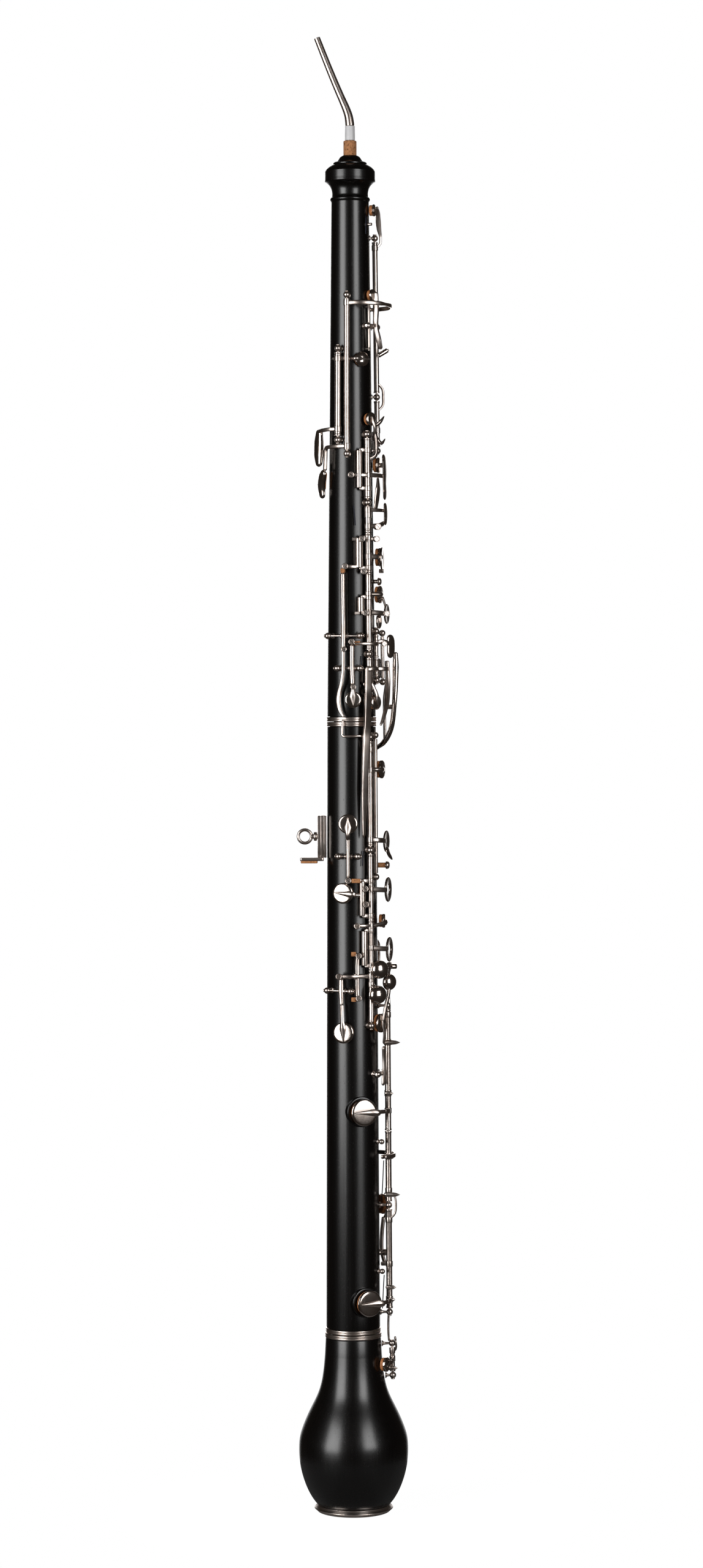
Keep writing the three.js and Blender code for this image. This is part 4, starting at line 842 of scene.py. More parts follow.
# Turned head from the neck up: radius and height
headOutline = np.array([
    [11.12, 772.2], [11.45, 772.75], [11.83, 773.7], [11.5, 774.65], [11.0, 775.1], [10.7, 775.9],
    [10.63, 777.1], [10.85, 778.9], [11.3, 780.4], [11.87, 781.5], [12.8, 782.6], [13.65, 783.3],
    [14.4, 783.8], [14.95, 784.25], [14.93, 784.7], [14.82, 786.2], [14.8, 790.2], [14.3, 791.25],
    [13.4, 792.3], [12.0, 793.4], [10.5, 794.15], [9.95, 794.55], [9.98, 795.1], [9.7, 795.6], [8.1, 795.95],
    [7.65, 796.3], [6.6, 797.8], [5.9, 798.85], [5.0, 799.5], [4.3, 799.85],
])


# Upper joint: the tenon with its cork's groove, a ring's seat, a straight taper, the head and its socket
def upperProfile():
    foot = middleSeam + wood["gap"]
    low, wall = foot + ringSeat, upperSizes["ringWall"]
    head = np.vstack([spline(headOutline[:13], 3), headOutline[13:16], spline(headOutline[16:21], 4),
                      spline(headOutline[21:25], 3), spline(headOutline[25:], 3)])
    return np.vstack([
        [*tenonPoints(upperSizes, foot), [wall, foot], [wall, low], [woodRadius(low), low]],
        head, socketPoints(upperSizes, upperSizes["lip"], upperSizes["boreTop"]),
    ])


turnedWood("bellWood", bellProfile(), 0.25, "bell", bellSizes["bore"], "bell")
turnedWood("lowerWood", lowerProfile(), 0.25, "lower", lowerSizes["boreMiddle"], "lower_joint")
turnedWood("upperWood", upperProfile(), 0.12, "upper", upperSizes["boreMiddle"], "upper_joint")
print("wood turned")


# Silver ring at a joint: two bright beads with a shallow groove between them
def jointRing(name, radius, foot, rides, cadNode):
    r, h = radius + 0.35, wood["ring"]
    groove = r - 0.22
    profile = rounded([[r - 1.5, 0], [r, 0], [r, 1.0], [groove, 1.18], [groove, 1.42], [r, 1.6], [r, h],
                       [r - 1.5, h]], 0.35, 4, True) + [0, foot]
    silverPiece(name, [ringLathe(profile, woodCut["around"])], rides, [cadNode])


jointRing("bellSocketRing", wood["bellNeck"], bellTop - wood["gap"] - wood["ring"],
          "bell", "bell_socket_ring")
jointRing("lowerFootRing", wood["foot"], bellTop + wood["gap"], "lower_joint", "lower_joint_foot_ring")
jointRing("lowerSocketRing", wood["seam"], middleSeam - wood["gap"] - wood["ring"],
          "lower_joint", "lower_joint_socket_ring")
jointRing("upperFootRing", wood["seam"], middleSeam + wood["gap"], "upper_joint", "upper_joint_foot_ring")

rimProfile = rounded([
    [19.6, 0], [21.3, 0], [22.3, 1.0], [22.3, 1.35], [23.2, 1.7], [23.15, 2.15], [22.3, 2.7], [21.6, 3.6],
    [21.4, 4.0], [19.6, 4.0],
], [0.2, 0.3, 0.3, 0.2, 0.3, 0.3, 0.4, 0.4, 0.2, 0.2], 4, True)
silverPiece("bellRimRing", [ringLathe(rimProfile, 128)], "bell", ["bell_rim_ring"])

for name, sizes, rides, cadNode in [
    ("footTenonCork", lowerSizes, "lower_joint", "foot_tenon_cork"),
    ("middleTenonCork", upperSizes, "upper_joint", "middle_tenon_cork"),
]:
    r, low, high = sizes["tenon"], sizes["corkFoot"], sizes["corkTop"]
    profile = rounded([[r - 1.3, low], [r, low], [r, high], [r - 1.3, high]], 0.3, 3, True)
    piece(name, [ringLathe(profile, 72)], cork, rides, [cadNode])
print("rings and tenon corks made")

bocal = {
    "foot": 817.6, "rise": 51.8, "reach": 19.3, "footRadius": 2.7, "tipRadius": 1.85, "wall": 0.6,
    "around": 40,
}


# Bocal tube: circles carried along the bent route, outside and back down inside, closed at the lip
def bocalShape():
    shares = np.array([[0, 0], [0.035, 0.1], [0.123, 0.2], [0.25, 0.31], [0.61, 0.63], [1, 1]])
    route = np.stack([-bocal["reach"] * shares[:, 0], 0 * shares[:, 0],
                      bocal["foot"] + bocal["rise"] * shares[:, 1]], -1)
    bent = smoothCurve(route, 12)
    low = np.array([[0, 0, 778.3], [0, 0, bocal["foot"] - 0.4]])
    path = np.vstack([low, bent])
    along = np.linspace(0, 1, len(bent))
    taper = bocal["footRadius"] + (bocal["tipRadius"] - bocal["footRadius"]) * along
    radius = np.concatenate([[2.1, 2.1], taper])
    run = unit(np.gradient(path, axis=0))
    run[:2] = [0, 0, 1]
    side = np.array([0.0, 1.0, 0])
    up = unit(np.cross(run, side))
    c, s = circleOf(bocal["around"]).T[:, None, :, None]
    circle = c * side + s * up[:, None]
    outer = path[:, None] + radius[:, None, None] * circle
    inner = path[:, None] + (radius - bocal["wall"])[:, None, None] * circle
    lip = path[-1] + (radius[-1] - bocal["wall"] / 2) * circle[-1] + run[-1] * 0.12
    return loopSkin(np.concatenate([outer, lip[None], inner[::-1]]))


piece("bocalTube", [bocalShape()], silver, "bocal", ["bocal_tube"], 50)
sleeveProfile = rounded([[2.4, 808.8], [2.95, 808.8], [2.92, 812], [2.85, 817.3], [2.4, 817.3]],
                        0.3, 4, True)
piece("bocalSleeve", [ringLathe(sleeveProfile, 56)], whiteSleeve, "bocal", ["bocal_sleeve"])
corkProfile = rounded([[2.4, 778.6], [3.8, 778.6], [3.85, 799], [3.85, 808.2], [3.6, 808.5], [2.4, 808.5]],
                      0.3, 4, True)
piece("bocalCork", [ringLathe(corkProfile, 56)], cork, "bocal", ["bocal_cork"])
print("bocal made")

for name, line, rides, cadNode in [
    ("trillPosts", "trill", "upper_joint", "front_trill_posts"),
    ("firstOctavePosts", "firstOctave", "upper_joint", "first_octave_posts"),
    ("secondOctavePosts", "secondOctave", "upper_joint", "second_octave_posts"),
    ("upperPosts", "upper", "upper_joint", "upper_stack_posts"),
    ("leftPosts", "left", "upper_joint", "left_hand_posts"),
    ("lowerPosts", "lower", "lower_joint", "lower_stack_posts"),
    ("leftLeverPosts", "leftLever", "lower_joint", "left_lever_posts"),
    ("footPosts", "foot", "lower_joint", "foot_posts"),
    ("bellPosts", "bell", "bell", "bell_posts"),
]:
    places = [onLine(lines[line], share) for share, post in lines[line]["stops"] if post]
    silverPiece(name, postsAt(places, 1.15), rides, [cadNode])
for name, pivot, rides, cadNode in [
    ("rockerPosts", "rocker", "upper_joint", "rocker_posts"),
    ("bridgePosts", "bridge", "upper_joint", "bridge_lever_posts"),
    ("sideVentPosts", "side", "upper_joint", "side_vent_posts"),
    ("forkedVentPosts", "vent", "lower_joint", "forked_vent_posts"),
    ("flatPosts", "flat", "lower_joint", "e_flat_posts"),
    ("sharpPosts", "sharp", "lower_joint", "c_sharp_posts"),
    ("lowVentPosts", "lowVent", "lower_joint", "low_vent_posts"),
]:
    silverPiece(name, postsAt([pivots[pivot]["a"], pivots[pivot]["b"]], 0.95), rides, [cadNode])
print("posts made")


# A key: its shapes in silver, and its polished cups and faces, its pads and its corks as pieces of their own
def key(cadNode, shapes, its=(), padNode=None, faces=(), corks=(), crown=None):
    silverPiece(cadNode + ".key", shapes, cadNode, [cadNode])
    bright = [cupShape(cup, crown) for cup in its] + list(faces)
    if bright:
        piece(cadNode + ".face", bright, polished, cadNode, ())
    if its:
        pads = piece(cadNode + ".pads", [padShape(cup) for cup in its], padSkin, cadNode,
                     [padNode] if padNode else ())
    if corks:
        piece(cadNode + ".corks", corks, cork, cadNode, ())


# Keys of the upper joint
key("front_trill_key", tubesOf("trill", 0, 2) + [
    strip("upper", [(-18, 1.12, 0.6), (-18, 2.2, 0.588), (-18, 2.3, 0.574), (-18, 2.2, 0.56),
                    (-18, 1.12, 0.548)]),
    strip("upper", [(-18, 1.3, 0.838), (-18, 2.1, 0.846), (-16, 2.1, 0.858), (-12, 1.8, 0.869),
                    (-7, 1.6, 0.882), (0, 1.5, 0.898), (6, 1.35, 0.909)],
          [0.8, 0.7, 0.7, 0.75, 0.8, 0.8, 0.8], [0.7, 0.7, 0.8, 1.3, 1.6, 1.3, 0.8], 5.0),
    strip("upper", [(-18, 1.12, 0.515), (-32, 1.5, 0.51), (-46, 1.6, 0.5)]),
    saddle("trill", 0.838), saddle("trill", 0.515),
], ["trill"], faces=[
    strip("upper", [(-48, 1.6, 0.515), (-48, 1.75, 0.48), (-48, 1.5, 0.445)], [2.6, 3.8, 2.8]),
])
key("rocker_key", [
    hubShape("rocker", 25),
    strip("upper", [(26, 1.45, 0.757), (26, 1.5, 0.727), (25, 1.3, 0.696), (20, 1.6, 0.675),
                    (13, 1.85, 0.656)],
          0.85, [1.3, 1.6, 1.6, 1.6, 1.2], 5.0),
    bar(spot("upper", 16, 1.2, 0.644), spot("upper", 7, 3.1, 0.656), 0.7, 0.2, 16),
], ["rocker"], faces=[bar(spot("upper", 15, 1.4, 0.645), spot("upper", 8, 2.9, 0.655), 1.45, 0.4, 28)])
key("first_octave_key", tubesOf("firstOctave", 0, 1) + [
    strip("upper", [(134, 1, 0.638), (118.5, 1, 0.638), (107, 0.7, 0.638), (97, 0.58, 0.638)],
          [0.6, 1.3, 1.3, 1.2], [0.8, 0.8, 0.8, 0.7]),
    spearArm("firstOctave", (100, 0.58, 0.638), [(88, 0.64, 0.638)], reach=1.0),
    strip("upper", [(118.5, 1, 0.514), (135, 1.3, 0.514), (153, 1.6, 0.513), (172, 1.8, 0.512)],
          1.15, 1.0, 4.0),
    saddle("firstOctave", 0.638), saddle("firstOctave", 0.514),
], ["firstOctave"], faces=[
    strip("upper", [(174, 1.75, 0.516), (178, 1.8, 0.494), (180, 1.8, 0.47), (178, 1.75, 0.45)],
          [2.4, 3.8, 3.8, 2.2], [1.3, 1.9, 2.1, 1.3], 2.0, away=outward(140)),
], crown=1.5)
key("second_octave_key", tubesOf("secondOctave", 0, 1) + [
    strip("upper", [(97.3, 1.53, 0.735), (70, 2.4, 0.735), (40, 3.3, 0.734), (12, 3.75, 0.7325)],
          [1.3, 1.4, 1.3, 0.3], [0.8, 0.8, 0.7, 0.3]),
    strip("upper", [(36, 3.3, 0.734), (10, 3.6, 0.733), (-14, 3.4, 0.732), (-35, 2.2, 0.731),
                    (-52, 1.3, 0.731)],
          [0.9, 1.2, 1.3, 1.3, 0.9]),
    strip("upper", [(97.3, 1.53, 0.4835), (115, 1.3, 0.4835), (135, 1.15, 0.483), (152, 1.1, 0.481),
                    (155, 1.1, 0.465), (157, 1.1, 0.442)], 1.15, 1.0, 4.0),
    saddle("secondOctave", 0.735), saddle("secondOctave", 0.4835),
], ["secondOctave"], faces=[
    strip("upper", [(156, 1.2, 0.442), (168, 1.25, 0.431), (178, 1.3, 0.416), (180, 1.1, 0.394)],
          [2.0, 3.3, 3.3, 2.1], [1.1, 1.7, 1.8, 1.1], 2.0, away=outward(143)),
], corks=[
    strip("upper", [(164, 0.72, 0.44), (172, 0.72, 0.428), (178, 0.72, 0.41)], [1.4, 2.2, 1.6], 0.55, 6.0),
], crown=1.5)
key("left_index_key", tubesOf("upper", 3, 5) + sideBar("upper", 72.8, 0.41, 0.477) + [
    strip("upper", [(53, 1, 0.46), (36, 1.5, 0.468), (32, 1.45, 0.5), (36, 1.3, 0.512)], 1.3, 0.9),
    spearArm("leftTop", (36, 1.4, 0.505), reach=0.5),
    strip("upper", [(30, 1.4, 0.5), (22, 2.0, 0.49), (16, 2.5, 0.4985)], [1.1, 1.1, 0.3], [0.8, 0.8, 0.3]),
    strip("upper", [(34, 1.5, 0.52), (27, 2.1, 0.528), (20, 2.5, 0.538)], [1.1, 1.1, 0.3], [0.8, 0.8, 0.3]),
    strip("upper", [(86, 1.1, 0.433), (72, 1.2, 0.433), (53, 1.3, 0.433), (28, 1.6, 0.433), (6, 1.9, 0.433)],
          1.3, 0.8),
    strip("upper", [(53, 1.1, 0.372), (28, 1.6, 0.372), (6, 1.85, 0.372)], 1.1, 0.8),
    strip("upper", [(53, 1.1, 0.343), (28, 1.5, 0.345), (6, 1.8, 0.35)], 1.5, 0.9),
    strip("upper", [(36, 1.35, 0.372), (35, 1.6, 0.39), (33, 1.75, 0.41), (30, 1.6, 0.43)],
          [1.5, 2.2, 2.1, 0.4], 0.7),
    stalk("upper", 10, 0.452, padFoot("leftIndex") + 2.7, woodRadius(616.7) + 6.5, 1.4),
    saddle("upper", 0.433), saddle("upper", 0.363), saddle("upper", 0.372), saddle("upper", 0.343),
    *slotScrew("upper", 90, 1.3, 0.4331), *slotScrew("upper", 32, 1.5, 0.343, 70, 2.0),
], ["leftTop", "leftIndex"], faces=[
    strip("upper", [(4, 1.95, 0.472), (4, 2.05, 0.455), (4, 2.1, 0.438), (4, 2.05, 0.421), (4, 2.1, 0.406),
                    (4, 2.05, 0.391)], [2.8, 3.6, 3.7, 2.7, 3.2, 2.2], 0.75, 3.4, away=outward(13)),
    strip("upper", [(4, 2.1, 0.3865), (4, 2.2, 0.3665), (4, 2.1, 0.3465)], [2.6, 3.6, 2.6], 0.75, 3.0,
          away=outward(13)),
])
key("left_middle_key", tubesOf("upper", 2, 3) + sideBar("upper", 74, 0.27, 0.323, 2.3) + [
    stalk("upper", 8, 0.29, padFoot("leftMiddle") + 2.7, woodRadius(562.6) + 5.0, 2.8),
    strip("upper", [(53, 1, 0.29), (30.5, 1.4, 0.29), (8, 1.5, 0.29)], 1.5, 0.9),
    strip("upper", [(53, 1.1, 0.3212), (44, 1.35, 0.3212), (37, 1.45, 0.3212)], 1.2, 0.8),
    strip("upper", [(76, 1.1, 0.272), (90, 1.3, 0.272), (101, 1.4, 0.273)], 1.2, 0.8),
    slip("upper", (78, 1.2, 0.3204), (88, 1.15, 0.3204), 1.0, 0.9),
    bar(spot("upper", 9, 0.95, 0.2655), spot("upper", 9, 1.75, 0.2655), 1.2, 0.3, 20),
    saddle("upper", 0.29),
    *slotScrew("upper", 70, 1.55, 0.3204), *slotScrew("upper", 37, 1.55, 0.3212, 70),
    *slotScrew("upper", 101.5, 1.5, 0.2726), *slotScrew("upper", 67, 1.55, 0.2636),
], ["leftMiddle"], "left_middle_pad", faces=[plateShape("upper", 7, 1.3, 0.287, 7.2, -1)])
key("left_ring_key", tubesOf("upper", 1, 2) + sideBar("upper", 71, 0.192, 0.219, 2.1) + [
    strip("upper", [(53, 1.1, 0.192), (30, 1.7, 0.191), (5, 2.1, 0.19)], 1.5, 0.9),
    strip("upper", [(12, 1.55, 0.22), (8, 1.9, 0.206), (6, 2.1, 0.196)]),
    strip("upper", [(30, 1.6, 0.191), (20, 1.3, 0.187), (15, 0.95, 0.184)], 1.0, 0.8),
    slip("upper", (74, 1.2, 0.1905), (84, 1.15, 0.1905), 1.0, 0.9),
    saddle("upper", 0.224), saddle("upper", 0.192), spearArm("leftRing", (50, 1.1, 0.224), reach=0.5),
    *slotScrew("upper", 64, 1.55, 0.1911), *slotScrew("upper", 15, 2.3, 0.1902, 70, 1.7),
], ["leftRing"], faces=[plateShape("upper", 4, 1.95, 0.19, 6.1, 9),
                          plateShape("upper", 14, 0.72, 0.177, 4.6, 4)])
key("bridge_vent_key", tubesOf("upper", 0, 1) + [
    spearArm("bridgeVent", (51, 1.15, 0.072), reach=0.7),
    strip("upper", [(53, 1, 0.066), (60, 1.05, 0.066), (67, 1.05, 0.066)]),
    saddle("upper", 0.072), *slotScrew("upper", 60, 1.25, 0.0607, 80, 1.7),
], ["bridgeVent"])
key("side_touch_key", tubesOf("left", 1, 2) + [
    strip("upper", [(33, 1, 0.137), (42, 1.9, 0.137), (54, 2.1, 0.137), (70, 1.95, 0.137), (86, 1.85, 0.137)],
          [1.2, 1.1, 1.0, 0.9, 0.4], [0.9, 0.8, 0.8, 0.7, 0.4]),
    strip("upper", [(33, 1, 0.14), (22, 2, 0.141), (9, 2.75, 0.136)], 1.3, 0.9),
    saddle("left", 0.138),
    *slotScrew("upper", 25, 2.15, 0.1372, 75, 1.6),
], faces=[
    strip("upper", [(8, 2.65, 0.1535), (8, 2.8, 0.143), (8, 2.8, 0.123), (8, 2.65, 0.112)],
          [2.0, 2.9, 2.9, 1.8], 0.8, 2.6, away=outward(50)),
], corks=[slip("upper", (84, 1.42, 0.1379), (74, 1.5, 0.1379), 1.2, 0.7)])
key("long_fork_lever", tubesOf("left", 0, 1) + [
    strip("upper", [(-34, 1.75, 0.093), (-16, 2.1, 0.093), (6, 2.3, 0.093), (20, 2.1, 0.093),
                    (33, 1.15, 0.093)]),
    strip("upper", [(33, 1, 0.093), (43, 1.9, 0.093), (54, 2.1, 0.093), (64, 1.95, 0.091)], 1.3, 0.8),
    strip("upper", [(61, 1.95, 0.098), (61.5, 1.92, 0.058), (62, 1.9, 0.04), (63.5, 1.88, -0.005),
                    (65, 1.85, -0.028), (68, 1.65, -0.12), (69, 1.35, -0.203)],
          [2.3, 2.4, 2.5, 2.5, 2.5, 2.2, 0.8], [0.7, 0.7, 0.7, 0.7, 0.7, 0.65, 0.5], 5.0,
          twist=[2, 3, 17, 15, 3, 14, 18]),
    saddle("left", 0.093),
], faces=[strip("upper", [(-36, 1.75, 0.112), (-36, 1.8, 0.093), (-36, 1.7, 0.075)], [2, 2.7, 2])])
key("bridge_lever", [
    hubShape("bridge", 105.5),
    strip("upper", [(107, 1, 0.2625), (106.5, 1.02, 0.21), (105.5, 1.05, 0.151), (105.5, 1.25, 0.1256)],
          1.4, 1.4, 2.0),
    strip("upper", [(105.5, 1.25, 0.129), (105.5, 1.3, 0.088), (109, 1.2, 0.066), (114.5, 1, 0.05),
                    (116, 1, 0.036), (112, 1, 0.02), (104, 1, 0.008)],
          [1.0, 1.0, 1.3, 1.5, 1.5, 1.3, 0.8], 0.7, 3.0),
    *slotScrew("upper", 103, 1.5, 0.1273, 95, 1.6),
], corks=[slip("upper", (107, 0.95, 0.2615), (107, 0.95, 0.2695), 1.3, 1.0)])
key("side_vent_key", [
    hubShape("side", 89),
    strip("upper", [(89, 1.1, 0.136), (89, 1.1, 0.094), (88, 1.15, 0.064)], 1.4, 1.3, 2.0),
    spearArm("side", (88, 1.15, 0.068), reach=0.85, wide=2.0),
    *slotScrew("upper", 90, 1.4, 0.1405), *slotScrew("upper", 87, 1.5, 0.0607, 86, 1.6),
], ["side"])

# Keys of the lower joint and the bell
key("right_index_key", tubesOf("lower", 3, 4) + [
    spearArm("rightIndex", (53, 1.1, 0.922), [(44, 1.75, 0.922)], reach=0.6),
    strip("lower", [(53, 1.1, 0.808), (40, 1.8, 0.807), (24, 1.7, 0.806), (8, 1.6, 0.804)], 1.5, 0.8),
    strip("lower", [(53, 1, 0.955), (62, 1.05, 0.958), (66, 1.05, 0.972), (71, 1.05, 0.9765),
                    (86, 1.05, 0.9765), (103, 1.05, 0.9765), (107.5, 1.04, 0.9775), (108.5, 1, 0.982),
                    (108.5, 0.85, 0.992), (108, 0.62, 1.004)],
          [1.1, 0.9, 0.8, 0.8, 0.8, 0.8, 0.8, 0.8, 0.8, 0.7], 0.6, 2.2),
    saddle("lower", 0.922), saddle("lower", 0.808), saddle("lower", 0.955),
], ["rightIndex"], "right_index_pad", faces=[
    plateShape("lower", 4, 1.5, 0.804, 6.6, 10),
    strip("lower", [(5, 1.75, 0.795), (4, 2.1, 0.783), (3, 2.7, 0.7735)], [3.4, 2.6, 1.2],
          0.6, away=outward(15)),
])
key("forked_vent_key", [
    hubShape("vent", 97),
    strip("lower", [(97, 1.25, 0.81), (97, 1.15, 0.781), (97, 1.1, 0.746)], [1.15, 1.05, 1.0],
          [0.8, 1.1, 0.9], 2.4),
    spearArm("vent", (97, 1.2, 0.807), reach=0.7, wide=2.1),
    *slotScrew("lower", 97, 1.35, 0.7418),
], ["vent"])
key("right_middle_key", tubesOf("lower", 2, 3) + sideBar("lower", 71, 0.684, 0.741) + [
    strip("lower", [(53, 1, 0.727), (34, 1.5, 0.726), (20, 2.1, 0.725)], 1.5, 0.9),
    spearArm("forked", (71, 1.1, 0.718), [(86, 1.25, 0.7185)], reach=0.85, wide=2.0),
    strip("lower", [(71, 1.1, 0.7418), (76, 1.2, 0.7418), (82, 1.2, 0.7418)], 1.1, 0.6),
    saddle("lower", 0.727),
    *slotScrew("lower", 67.5, 1.6, 0.7285), *slotScrew("lower", 66.5, 1.6, 0.703),
], ["forked"], faces=[ringPlate("lower", 3, 1.75, 0.725, 7.5, 3.3, 11)],
    corks=[slip("lower", (91, 1.5, 0.7418), (76, 1.6, 0.7418), 1.25, 0.6)])
key("right_ring_key", tubesOf("lower", 1, 2) + sideBar("lower", 67, 0.603, 0.66) + [
    strip("lower", [(53, 1, 0.632), (34, 1.6, 0.63), (20, 2.25, 0.629)], 1.5, 0.9),
    spearArm("rightRing", (53, 1.1, 0.667), [(38, 1.35, 0.669)], reach=0.6),
    strip("lower", [(53, 1.1, 0.6682), (67, 1.2, 0.6682), (88, 1.25, 0.6682)], 1.0, 0.8),
    saddle("lower", 0.632), saddle("lower", 0.667),
    *slotScrew("lower", 82, 1.5, 0.6682),
], ["rightRing"], faces=[ringPlate("lower", 3, 1.9, 0.627, 7.5, 3.3, 11)])
key("e_flat_touch_key", tubesOf("lower", 0, 1) + [
    strip("lower", [(53, 1, 0.586), (72, 1.1, 0.586), (92, 1.5, 0.586), (112, 1.6, 0.586)], 1.2, 0.8),
    strip("lower", [(80, 1.15, 0.622), (81, 1.1, 0.604), (81, 1.15, 0.586), (81, 1.1, 0.566),
                    (80, 1.15, 0.548)],
          [1.1, 1.2, 1.2, 1.2, 1.1], 0.9),
    slip("lower", (84, 1.1, 0.586), (88, 1.25, 0.586), 1.7, 1.2),
    strip("lower", [(53, 1, 0.572), (52, 1.7, 0.568), (49, 2.3, 0.56)], 1.5, 0.9),
    saddle("lower", 0.586), saddle("lower", 0.572),
    *slotScrew("lower", 79.5, 1.5, 0.5508), *slotScrew("lower", 79.5, 1.5, 0.6195),
    *slotScrew("lower", 112, 1.75, 0.5862, 95),
], faces=[domeShape("lower", 49, 2.2, 0.556, 5.5, 18)],
    corks=[slip("lower", (83, 1.15, 0.5487), (92, 1.15, 0.5487), 1.3, 0.8),
           slip("lower", (83, 1.15, 0.6225), (92, 1.15, 0.6225), 1.3, 0.8)])
key("e_flat_key", [
    hubShape("flat", 110),
    strip("lower", [(111.4, 0.9, 0.583), (110.5, 1.15, 0.562), (109.3, 1.2, 0.538)], [1.4, 1.5, 1.25],
          [1, 1, 0.85], 2.4),
    spearArm("flat", (109.5, 1.2, 0.541), reach=0.8, wide=2.0),
], ["flat"])
key("c_sharp_key", [
    hubShape("sharp", 20),
    strip("lower", [(24, 1.45, 0.47), (20, 1.3, 0.45), (19, 1.25, 0.425), (19, 1.1, 0.405)], 1.4, 0.9),
    strip("lower", [(28, 1.6, 0.51), (24, 1.9, 0.535), (17, 2.15, 0.556), (13, 2.2, 0.57)], 1.4, 0.9),
    spearArm("sharp", (24, 1.45, 0.475), reach=0.8, wide=1.9),
], ["sharp"], faces=[domeShape("lower", 12, 2.0, 0.574, 5.0, 38)])
key("low_c_key", tubesOf("foot", 2, 3) + [
    strip("lower", [(4, 1.65, 0.363), (18, 2.1, 0.364), (34, 2.2, 0.3645)], [1.6, 1.5, 1.3], 0.9),
    spearArm("lowC", (32, 2.2, 0.3645), [(45, 2.2, 0.365)], reach=0.85, wide=2.2),
    strip("lower", [(4, 1.65, 0.52), (-8, 2, 0.526), (-13, 2, 0.55), (-10, 2, 0.588), (4, 2.25, 0.6015),
                    (24, 2.4, 0.603), (42, 2.4, 0.6)], 1.5, 0.9),
    saddle("foot", 0.363), saddle("foot", 0.52), leaf("lower", 10, 0.3916, 19.0, 24.4),
    saddle("foot", 0.3916, 1.9), leaf("lower", 10, 0.475, 18.0, 28.6, 1.6), saddle("foot", 0.475, 1.9),
], ["lowC"], "low_c_pad", faces=[
    domeShape("lower", 45, 2.2, 0.597, 5.5, 20),
    bar(spot("lower", 12, 2.5, 0.5995), spot("lower", 8, 3.3, 0.5995), 1.5, 0.35, 28),
])
key("low_b_key", tubesOf("foot", 0, 2) + [
    strip("lower", [(4, 1.65, 0.232), (4, 2.7, 0.222), (4, 2.9, 0.208), (4, 2.7, 0.194), (4, 1.65, 0.184)]),
    strip("lower", [(4, 1.65, 0.054), (18, 2.1, 0.054), (30, 2.2, 0.054)], [1.6, 1.5, 1.3], 0.9),
    spearArm("lowB", (28, 2.2, 0.054), [(38, 2.2, 0.054)], reach=0.85, wide=2.2),
    strip("lower", [(4, 1.65, 0.047), (-8, 1.7, 0.044), (-10, 1.6, 0.03), (-10, 1.5, 0),
                    (-10, 1.45, -0.018)]),
    strip("lower", [(4, 1.65, 0.29), (20, 1.6, 0.29), (34, 1.4, 0.29)]),
    strip("lower", [(4, 1.65, 0.112), (-10, 1.15, 0.11), (-25, 0.75, 0.108)]),
    saddle("foot", 0.232), saddle("foot", 0.184), saddle("foot", 0.29), saddle("foot", 0.112),
    saddle("foot", 0.054, 2.0), leaf("lower", 10, 0.287, 19.0, 25.0),
    leaf("lower", 10, 0.226, 18.4, 28.3, 1.6), leaf("lower", 10, 0.0743, 19.4, 25.8),
    leaf("lower", 10, 0.0542, 21.0, 25.2),
], ["lowB"])
key("low_vent_key", [
    hubShape("lowVent", -28),
    strip("lower", [(-27, 1.4, 0.185), (-28, 1.1, 0.158), (-28, 1.05, 0.128), (-27, 1.55, 0.108)], 1.4, 0.9),
    spearArm("lowVent", (-27, 1.35, 0.182), reach=0.8, wide=1.9),
], ["lowVent"])
key("left_hand_lever", tubesOf("leftLever", 0, 2) + [
    strip("lower", [(-46, 1, 0.644), (-46, 2.1, 0.634), (-46, 2.2, 0.62), (-46, 2.1, 0.606),
                    (-46, 1, 0.596)]),
    strip("lower", [(-46, 1, 0.29), (-30, 1.9, 0.29), (-12, 2.6, 0.29), (6, 2.75, 0.29), (22, 2.45, 0.29),
                    (34, 2.2, 0.29)]),
    strip("lower", [(-24, 2.1, 0.967), (-20, 1.9, 1.005), (-15, 1.75, 1.039), (-10, 2.05, 1.068),
                    (-9, 2, 1.1)],
          1.1, 0.85, 2.4),
    strip("lower", [(36, 1.95, 0.994), (26, 1.95, 1.007), (10, 2.05, 1.032), (-3, 2.2, 1.065),
                    (-7, 2.2, 1.1)],
          [0.7, 1.0, 1.0, 1.0, 0.9], [0.6, 1.1, 1.5, 1.5, 1.0], 2.4),
    bar(spot("lower", -12, 1.9, 1.024), spot("lower", -9, 3.3, 1.024), 1.4, 0.35, 24),
], faces=[
    strip("lower", [(-46, 1, 0.952), (-36, 1.45, 0.958), (-25, 2, 0.966), (-16, 2.9, 0.988), (-9, 3.35, 1.03),
                    (-6, 3.6, 1.09), (-6, 3.6, 1.114)], [1.2, 1.3, 1.4, 1.7, 1.8, 1.7, 1.2],
          [0.9, 1.1, 1.6, 1.5, 1.5, 1.9, 1.4], 2.4),
])
key("bell_key", tubesOf("bell", 0, 1) + [
    strip("bell", [(0, 1.6, 0.85), (10, 1.9, 0.846), (18, 1.7, 0.84)], 1.4, 0.8),
    strip("bell", [(0, 1.7, 0.895), (-6, 2.5, 0.9), (-12, 2.65, 0.93), (-12, 2.6, 0.965)]),
    spearArm("bell", (10, 1.85, 0.845), reach=0.6),
    saddle("bell", 0.85), saddle("bell", 0.895), leaf("bell", 7, 0.8, 19.6, 26.4),
], ["bell"])
print("keys made")

